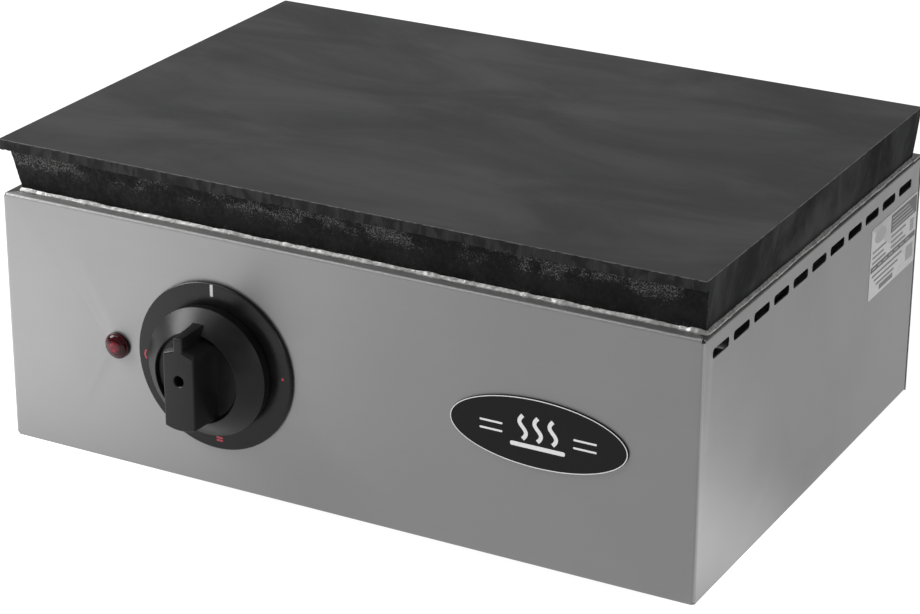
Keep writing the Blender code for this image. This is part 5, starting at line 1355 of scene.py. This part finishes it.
def build_dial(settings, plastic):
    """The dial disc with its bores, and its four printed marks."""
    radius = (BEZEL_HIGH.x - BEZEL_LOW.x) / 2
    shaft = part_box("switch_shaft")
    hole = (shaft[1].x - shaft[0].x) / 2 + SHAFT_HOLE_MARGIN
    back = FRONT - BEZEL_HIGH.y - 0.0002
    outline = [(hole, BEZEL_FACE, 0.0003), (radius - 0.0005, BEZEL_FACE, 0.0003)]
    outline += [(radius, BEZEL_FACE - 0.0006, 0.0004), (radius, back, 0.0002), (hole, back)]
    profile = rounded(outline, closed=True)
    place = facing("front", KNOB_AXIS)
    disc = turned("dial_disc", profile, None, segments=220, closed=True)
    cutters = []
    for number in (1, 2):
        spot = place.inverted() @ middle(f"switch_screw_{number}")
        bore = turned(
            f"dial screw bore {number}",
            [(0, -0.002), (SWITCH_SCREW_HOLE, -0.002), (SWITCH_SCREW_HOLE, 0.01), (0, 0.01)],
            Matrix.Translation((spot.x, spot.y, 0)),
            segments=24,
        )
        cutters.append((bore, "DIFFERENCE"))
    mesh = combined("dial_disc", disc, cutters)
    mesh.transform(place)
    new_piece("dial_disc", mesh, plastic, "casing", ["knob_bezel"])
    low, high = BEZEL_FACE + 0.00001, BEZEL_FACE + 0.00008
    pale = printed("dial print", settings.mark_colour)
    red = printed("heat print", settings.heat_colour)
    off = [box_outline((-0.0009, 0.0405), (0.0009, 0.0472), 0.0002, 3)]
    angles = np.linspace(-1.45, 1.45, 17)
    crescent = [(-0.0424 - 0.0013 * math.cos(a), 0.0024 * math.sin(a) - 0.0016) for a in angles]
    bars = [box_outline((0.0006, y - 0.00055), (0.0046, y + 0.00055), 0.0004, 3) for y in (-0.0409, -0.0425)]
    marks = {
        "dial_mark_off": (off, pale),
        "dial_mark_low": ([circle(0.0008, 16, (0.0430, 0.0020))], red),
        "dial_mark_middle": (bars, red),
        "dial_mark_high": ([ribbon(crescent, 0.0009)], red),
    }
    for name, (outlines, finish) in marks.items():
        new_piece(name, plaque(name, outlines, low, high, place), finish, "casing")


def build_lens(settings):
    """The lamp's low domed lens, hollow over the lamp's body."""
    radius = (LENS_HIGH.x - LENS_LOW.x) / 2
    top = FRONT - LENS_LOW.y
    back = FRONT - LENS_HIGH.y
    rim = back + 0.0016
    dome_radius = radius - 0.0006
    angles = np.linspace(0, math.pi / 2, 16)
    dome = [(dome_radius * math.sin(a), rim + (top - rim) * math.cos(a)) for a in angles]
    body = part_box("indicator_body")
    bore = (body[1].z - body[0].z) / 2 + GAP
    inner = FRONT - body[0].y + GAP
    collar = [(dome_radius, rim), (radius, rim, 0.0004), (radius, back, 0.0002)]
    collar += [(bore, back), (bore, inner), (0, inner)]
    mesh = turned("lamp_lens", dome + rounded(collar), facing("front", LAMP_AXIS))
    finish = lens_plastic(settings.lens_colour)
    new_piece("lamp_lens", mesh, finish, "casing", ["indicator_lens"])


# ================================================================ badge and rating label
def build_badge(settings):
    """A black oval badge with a pale rim and a plain heat emblem: three waves over a bar."""
    half_width = (BADGE_HIGH.x - BADGE_LOW.x) / 2
    half_height = (BADGE_HIGH.z - BADGE_LOW.z) / 2
    centre = middle("badge")
    place = facing("front", (centre.x, FRONT, centre.z))
    face = FRONT - BADGE_LOW.y
    rim = settings.badge_rim

    def oval(inset, height):
        return [(x, y, height) for x, y in ellipse(half_width - inset, half_height - inset, 160)]

    levels = [(0.0, 0.00005), (0.0, face - 0.0003), (0.0001, face - 0.0001), (0.0003, face - 0.00002)]
    levels += [(rim, face - 0.00002), (rim + 0.0001, face - 0.00012)]
    levels += [(0.006, face - 0.00006), (0.012, face - 0.00003)]
    mesh = lofted("badge_plate", [oval(*level) for level in levels], place, sharp=30)
    new_piece("badge_plate", mesh, enamel(settings.badge_colour), "casing", ["badge"])
    pale = printed("badge print", settings.print_colour, 0.35)
    bm = bmesh.new()
    corners = ((0.0002, face - 0.00002), (0.0002, face), (rim, face), (rim, face - 0.00002))
    rings = [oval(*corner) for corner in corners]
    add_rings(bm, rings + rings[:1], caps=False)
    mesh = mesh_from("badge_rim", bm, place)
    new_piece("badge_rim", mesh, pale, "casing")
    outlines = []
    tall = settings.wave_height
    for x in (-0.0085, 0.0, 0.0085):
        shares = np.linspace(0, 1, 33)
        route = [(x + 0.0019 * math.sin(2 * math.pi * t), -tall * 0.32 + tall * t) for t in shares]
        outlines.append(ribbon(route, 0.0022))
    outlines.append(box_outline((-0.0155, -0.0088), (0.0155, -0.0064), 0.0010, 4))
    for side in (-1, 1):
        inner_x, outer_x = sorted((side * 0.0200, side * 0.0330))
        outlines += [box_outline((inner_x, y), (outer_x, y + 0.0011), 0.0004, 3) for y in (-0.0032, 0.0012)]
    mesh = plaque("badge_emblem", outlines, face - 0.00008, face, place)
    new_piece("badge_emblem", mesh, pale, "casing")


def label_bars():
    """The label's print as plain bars, dark and grey, each (left, bottom, right, top) in shares of it."""
    dark = [(0.42, 0.715, 0.985, 0.965), (0.015, 0.375, 0.985, 0.455)]
    grey = []
    for row in range(3):
        top = 0.665 - row * 0.075
        grey.append((0.04, top - 0.028, 0.33 - 0.05 * (row % 2), top))
        grey.append((0.44, top - 0.028, 0.76 - 0.06 * (row % 2), top))
    for row in range(3):
        top = 0.325 - row * 0.075
        grey.append((0.05 + 0.05 * row, top - 0.030, 0.70 - 0.08 * row, top))
    grey.append((0.22, 0.045, 0.52, 0.115))
    for column in range(9):
        left = 0.80 + column * 0.018
        grey.append((left, 0.10, left + 0.008, 0.31))
    for row in range(5):
        grey.append((0.86, 0.500 + row * 0.034, 0.94, 0.518 + row * 0.034))
    return dark, grey


def build_label(settings):
    """The rating label: a thin film with its print in layers of plain bars."""
    size = LABEL_HIGH - LABEL_LOW
    centre = middle("rating_label")
    place = facing("right", (RIGHT, centre.y, centre.z))
    half = (size.y / 2, size.z / 2)
    film_top = 0.00016
    outline = box_outline((-half[0], -half[1]), half, 0.0012, 6)
    film = plaque("label_film", [outline], 0.00002, film_top, place, edge=0.00004)
    paper = label_film(settings.film_colour)
    new_piece("label_film", film, paper, "casing", ["rating_label"])

    def placed(bar):
        corners = [(share - 0.5) * 2 * half[i % 2] for i, share in enumerate(bar)]
        return box_outline(corners[:2], corners[2:])

    dark, grey = label_bars()
    header_lines = [(0.45, 0.745 + row * 0.052, 0.93 - 0.04 * row, 0.763 + row * 0.052) for row in range(4)]
    band_lines = [(0.05 + 0.12 * i, 0.405, 0.13 + 0.12 * i, 0.425) for i in range(7)]
    ink = printed("label ink", settings.ink_colour)
    grey_ink = printed("label grey ink", shade(settings.ink_colour, 2.6))
    pale_ink = printed("label pale ink", shade(settings.film_colour, 0.62))
    disc = [(x - half[0] * 0.62, y + half[1] * 0.66) for x, y in ellipse(0.0085, 0.0042, 40)]
    layers = {
        "label_blocks": ([placed(bar) for bar in dark], 0.00001, 0.00003, ink),
        "label_rows": ([placed(bar) for bar in grey], 0.00001, 0.00003, grey_ink),
        "label_emblem": ([disc], 0.00001, 0.00003, pale_ink),
        "label_knockouts": ([placed(bar) for bar in header_lines + band_lines], 0.00004, 0.00005, pale_ink),
    }
    for name, (outlines, low, high, finish) in layers.items():
        mesh = plaque(name, outlines, film_top + low, film_top + high, place)
        new_piece(name, mesh, finish, "casing")


# ================================================================ finishes of the frame's own parts
def inner_finishes(settings):
    zinc = plated("zinc plating", ZINC)
    brass = plated("brass", BRASS, 0.30, BRASS_TARNISH)
    sheath = plated("element sheath", (0.30, 0.24, 0.20), 0.40, (0.10, 0.08, 0.08))
    plastic = moulded("black plastic", settings.controls.plastic_colour)
    bakelite = moulded("switch moulding", (0.030, 0.026, 0.022), 0.35)
    zinc_sheet = galvanised()
    sleeve = woven_sleeve("glass sleeve", (0.62, 0.58, 0.48), 0.00025)
    return {
        "heating_element": sheath,
        "element_cover": zinc_sheet,
        "heat_shield": zinc_sheet,
        "support_rail": zinc_sheet,
        "base_plate": zinc_sheet,
        "insulation_mat": mineral_wool(),
        "plate_stud": zinc,
        "plate_nut": zinc,
        "rear_panel_screw": zinc,
        "foot_screw": zinc,
        "switch_screw": zinc,
        "indicator_body": plastic,
        "indicator_nut": plastic,
        "gland_nut": plastic,
        "switch_housing": bakelite,
        "switch_cover": bakelite,
        "switch_cam": bakelite,
        "switch_shaft": brass,
        "earth": brass,
        "bus_bar": brass,
        "terminal_block": ceramic(),
        "element_wire": sleeve,
        "lamp_wire": sleeve,
        "live_wire": woven_sleeve("brown insulation", (0.10, 0.035, 0.015), 0),
        "neutral_wire": woven_sleeve("blue insulation", (0.02, 0.06, 0.30), 0),
    }


def finish_inner_parts(settings):
    """Gives each frame part that stays in view its own finish."""
    finishes = inner_finishes(settings)
    for name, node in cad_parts.items():
        if node.hide_render:
            continue
        finish = next((finishes[start] for start in finishes if name.startswith(start)), None)
        if finish is None:
            raise RuntimeError(f"no finish for {name}")
        node.data.materials.clear()
        node.data.materials.append(finish)


# ================================================================ studio
def add_light(name, place, aim, size, power):
    light = bpy.data.lights.new(name, "AREA")
    light.shape = "RECTANGLE"
    light.size, light.size_y = size
    light.energy = power
    lamp = bpy.data.objects.new(name, light)
    lamp.location = place
    lamp.rotation_euler = (Vector(aim) - Vector(place)).to_track_quat("-Z", "Y").to_euler()
    bpy.context.scene.collection.objects.link(lamp)


def add_flag(place, aim, size):
    """A black card that keeps the surroundings out of the right side's sheen. It isn't seen directly."""
    bm = bmesh.new()
    bmesh.ops.create_grid(bm, x_segments=1, y_segments=1, size=0.5)
    mesh = mesh_from("black card", bm, Matrix.Diagonal((*size, 1, 1)))
    mesh.materials.append(Finish("black card", (0.01, 0.01, 0.01), 0.9).material)
    card = bpy.data.objects.new("black card", mesh)
    card.location = place
    card.rotation_euler = (Vector(aim) - Vector(place)).to_track_quat("-Z", "Y").to_euler()
    card.visible_camera = False
    bpy.context.scene.collection.objects.link(card)


def paper_floor(settings):
    """Pale paper lit from below: evenly, and more before the casing's left end and beside its right."""
    paper = Finish("floor paper", settings.floor_colour, 0.85, 0.0, Emission_Color=(1, 1, 1, 1))
    glow = settings.floor_glow
    patches = (
        (LEFT - 0.14, FRONT - 0.18, 0.34, settings.left_glow),
        (RIGHT + 0.10, FRONT + 0.07, 0.15, settings.right_glow),
        (RIGHT + 0.20, FRONT + 0.22, 0.13, settings.right_glow),
    )
    for x, y, reach, extra in patches:
        here = paper.node("ShaderNodeVectorMath", {0: paper.place(offset=(-x, -y, 0))}, operation="LENGTH")
        glow = paper.math("ADD", paper.ramp(here.outputs["Value"], 0.0, reach, extra, 0.0), glow)
    paper.feed("Emission Strength", glow)
    paper.feed("Normal", paper.bump(paper.noise(60), 0.0001, 0.2))
    return paper.material


def build_studio(settings):
    """The floor, surroundings, three lights, a black card and the camera."""
    scene = bpy.context.scene
    centre = (CAD_BOX[0] + CAD_BOX[1]) / 2
    bm = bmesh.new()
    bmesh.ops.create_grid(bm, x_segments=1, y_segments=1, size=6)
    mesh = bpy.data.meshes.new("floor")
    bm.to_mesh(mesh)
    bm.free()
    floor = bpy.data.objects.new("floor", mesh)
    floor.location.z = CAD_BOX[0].z - 0.0001
    mesh.materials.append(paper_floor(settings))
    scene.collection.objects.link(floor)

    world = bpy.data.worlds.new("studio surroundings")
    world.use_nodes = True
    background = world.node_tree.nodes["Background"]
    background.inputs["Color"].default_value = (1, 1, 1, 1)
    background.inputs["Strength"].default_value = settings.sky
    scene.world = world
    add_light("key light", (-1.9, -0.7, 1.25), centre, (1.3, 1.1), settings.key_power)
    add_light("side light", (1.8, -1.0, 0.8), centre, (0.7, 0.9), settings.side_power)
    add_light("top light", (-0.9, -0.6, 1.9), centre, (1.4, 1.0), settings.top_power)
    add_flag((0.95, 1.65, 0.55), centre, (1.3, 1.1))

    back = Vector(
        (
            math.sin(settings.azimuth) * math.cos(settings.elevation),
            -math.cos(settings.azimuth) * math.cos(settings.elevation),
            math.sin(settings.elevation),
        )
    )
    camera = bpy.data.objects.new("camera", bpy.data.cameras.new("camera"))
    camera.data.lens = settings.lens
    camera.data.sensor_width = 36
    camera.data.clip_start, camera.data.clip_end = 0.05, 50
    camera.location = centre + Vector(settings.aim) + back * settings.distance
    turn = (-back).to_track_quat("-Z", "Y").to_matrix() @ Matrix.Rotation(settings.roll, 3, "Z")
    camera.rotation_euler = turn.to_euler()
    scene.collection.objects.link(camera)
    scene.camera = camera
    scene.view_settings.view_transform = "Standard"


# ================================================================ operators
def shared(name, make):
    """A material by name, made the first time that it is asked for."""
    return bpy.data.materials.get(name) or make()


def black_plastic(context):
    base = context.scene.hot_plate_burner.controls.plastic_colour
    return shared("knob plastic", lambda: moulded("knob plastic", base))


def zinc_screws():
    return shared("screw zinc", lambda: plated("screw zinc", ZINC))


def stainless(context):
    settings = context.scene.hot_plate_burner.casing
    steel, roughness = settings.steel_colour, settings.steel_roughness
    return shared("brushed stainless", lambda: brushed_steel(steel, roughness))


class BURNER_OT_cooking_plate(bpy.types.Operator):
    """Build the iron cooking plate with its lip, cast skin and ground sides"""

    bl_idname = "burner.cooking_plate"
    bl_label = "Cooking plate"

    def execute(self, context):
        build_plate(context.scene.hot_plate_burner.plate)
        return {"FINISHED"}


class BURNER_OT_sealant_bead(bpy.types.Operator):
    """Build the silvery sealant round the plate's foot"""

    bl_idname = "burner.sealant_bead"
    bl_label = "Sealant bead"

    def execute(self, context):
        build_bead(context.scene.hot_plate_burner.plate)
        return {"FINISHED"}


class BURNER_OT_casing(bpy.types.Operator):
    """Build the folded stainless casing and its rear panel"""

    bl_idname = "burner.casing"
    bl_label = "Casing"

    def execute(self, context):
        settings = context.scene.hot_plate_burner.casing
        build_shell(settings, stainless(context))
        build_rear_panel(settings, stainless(context))
        return {"FINISHED"}


class BURNER_OT_rear_fittings(bpy.types.Operator):
    """Build the rear panel's screws, the cable gland and the earth nut"""

    bl_idname = "burner.rear_fittings"
    bl_label = "Rear fittings"

    def execute(self, context):
        brass = plated("earth brass", BRASS, 0.30, BRASS_TARNISH)
        build_rear_fittings(black_plastic(context), brass, zinc_screws())
        return {"FINISHED"}


class BURNER_OT_feet(bpy.types.Operator):
    """Build the four rubber feet and their screws"""

    bl_idname = "burner.feet"
    bl_label = "Feet"

    def execute(self, context):
        build_feet(context.scene.hot_plate_burner.trim, zinc_screws())
        return {"FINISHED"}


class BURNER_OT_knob(bpy.types.Operator):
    """Build the heat knob"""

    bl_idname = "burner.knob"
    bl_label = "Heat knob"

    def execute(self, context):
        build_knob(context.scene.hot_plate_burner.controls, black_plastic(context))
        return {"FINISHED"}


class BURNER_OT_dial(bpy.types.Operator):
    """Build the dial disc behind the knob and its printed marks"""

    bl_idname = "burner.dial"
    bl_label = "Dial"

    def execute(self, context):
        settings = context.scene.hot_plate_burner.controls
        build_dial(settings, moulded("dial plastic", shade(settings.plastic_colour, 1.15), 0.27))
        return {"FINISHED"}


class BURNER_OT_lamp(bpy.types.Operator):
    """Build the red indicator lens"""

    bl_idname = "burner.lamp"
    bl_label = "Indicator lens"

    def execute(self, context):
        build_lens(context.scene.hot_plate_burner.controls)
        return {"FINISHED"}


class BURNER_OT_badge(bpy.types.Operator):
    """Build the oval badge"""

    bl_idname = "burner.badge"
    bl_label = "Badge"

    def execute(self, context):
        build_badge(context.scene.hot_plate_burner.trim)
        return {"FINISHED"}


class BURNER_OT_rating_label(bpy.types.Operator):
    """Build the rating label with plain bars for its print"""

    bl_idname = "burner.rating_label"
    bl_label = "Rating label"

    def execute(self, context):
        build_label(context.scene.hot_plate_burner.trim)
        return {"FINISHED"}


class BURNER_OT_inner_parts(bpy.types.Operator):
    """Finish the frame's own parts: heat pack, rails, base, switch, lamp body and wiring"""

    bl_idname = "burner.inner_parts"
    bl_label = "Inner parts"

    def execute(self, context):
        finish_inner_parts(context.scene.hot_plate_burner)
        return {"FINISHED"}


class BURNER_OT_studio(bpy.types.Operator):
    """Set up the floor, the lights and the camera"""

    bl_idname = "burner.studio"
    bl_label = "Studio"

    def execute(self, context):
        build_studio(context.scene.hot_plate_burner.studio)
        return {"FINISHED"}


OPERATORS = (
    BURNER_OT_cooking_plate,
    BURNER_OT_sealant_bead,
    BURNER_OT_casing,
    BURNER_OT_rear_fittings,
    BURNER_OT_feet,
    BURNER_OT_knob,
    BURNER_OT_dial,
    BURNER_OT_lamp,
    BURNER_OT_badge,
    BURNER_OT_rating_label,
    BURNER_OT_inner_parts,
    BURNER_OT_studio,
)


class BURNER_PT_panel(bpy.types.Panel):
    """Lists the burner's pieces and their settings"""

    bl_idname = "BURNER_PT_panel"
    bl_label = "Hot plate burner"
    bl_space_type = "VIEW_3D"
    bl_region_type = "UI"
    bl_category = "Hot plate"

    def draw(self, context):
        settings = context.scene.hot_plate_burner
        for operator in OPERATORS:
            self.layout.operator(operator.bl_idname)
        for group in ("plate", "casing", "controls", "trim", "studio"):
            box = self.layout.box()
            box.label(text=group.capitalize())
            values = getattr(settings, group)
            for name in values.bl_rna.properties.keys():
                if name not in ("rna_type", "name"):
                    box.prop(values, name)


CLASSES = (
    BURNER_PG_plate,
    BURNER_PG_casing,
    BURNER_PG_controls,
    BURNER_PG_trim,
    BURNER_PG_studio,
    BURNER_PG_settings,
    *OPERATORS,
    BURNER_PT_panel,
)


def register():
    for each in CLASSES:
        bpy.utils.register_class(each)
    bpy.types.Scene.hot_plate_burner = PointerProperty(type=BURNER_PG_settings)


def unregister():
    del bpy.types.Scene.hot_plate_burner
    for each in reversed(CLASSES):
        bpy.utils.unregister_class(each)


def main():
    register()
    bpy.ops.burner.cooking_plate()
    bpy.ops.burner.sealant_bead()
    bpy.ops.burner.casing()
    bpy.ops.burner.rear_fittings()
    bpy.ops.burner.feet()
    bpy.ops.burner.knob()
    bpy.ops.burner.dial()
    bpy.ops.burner.lamp()
    bpy.ops.burner.badge()
    bpy.ops.burner.rating_label()
    bpy.ops.burner.inner_parts()
    bpy.ops.burner.studio()


if __name__ == "__main__":
    main()
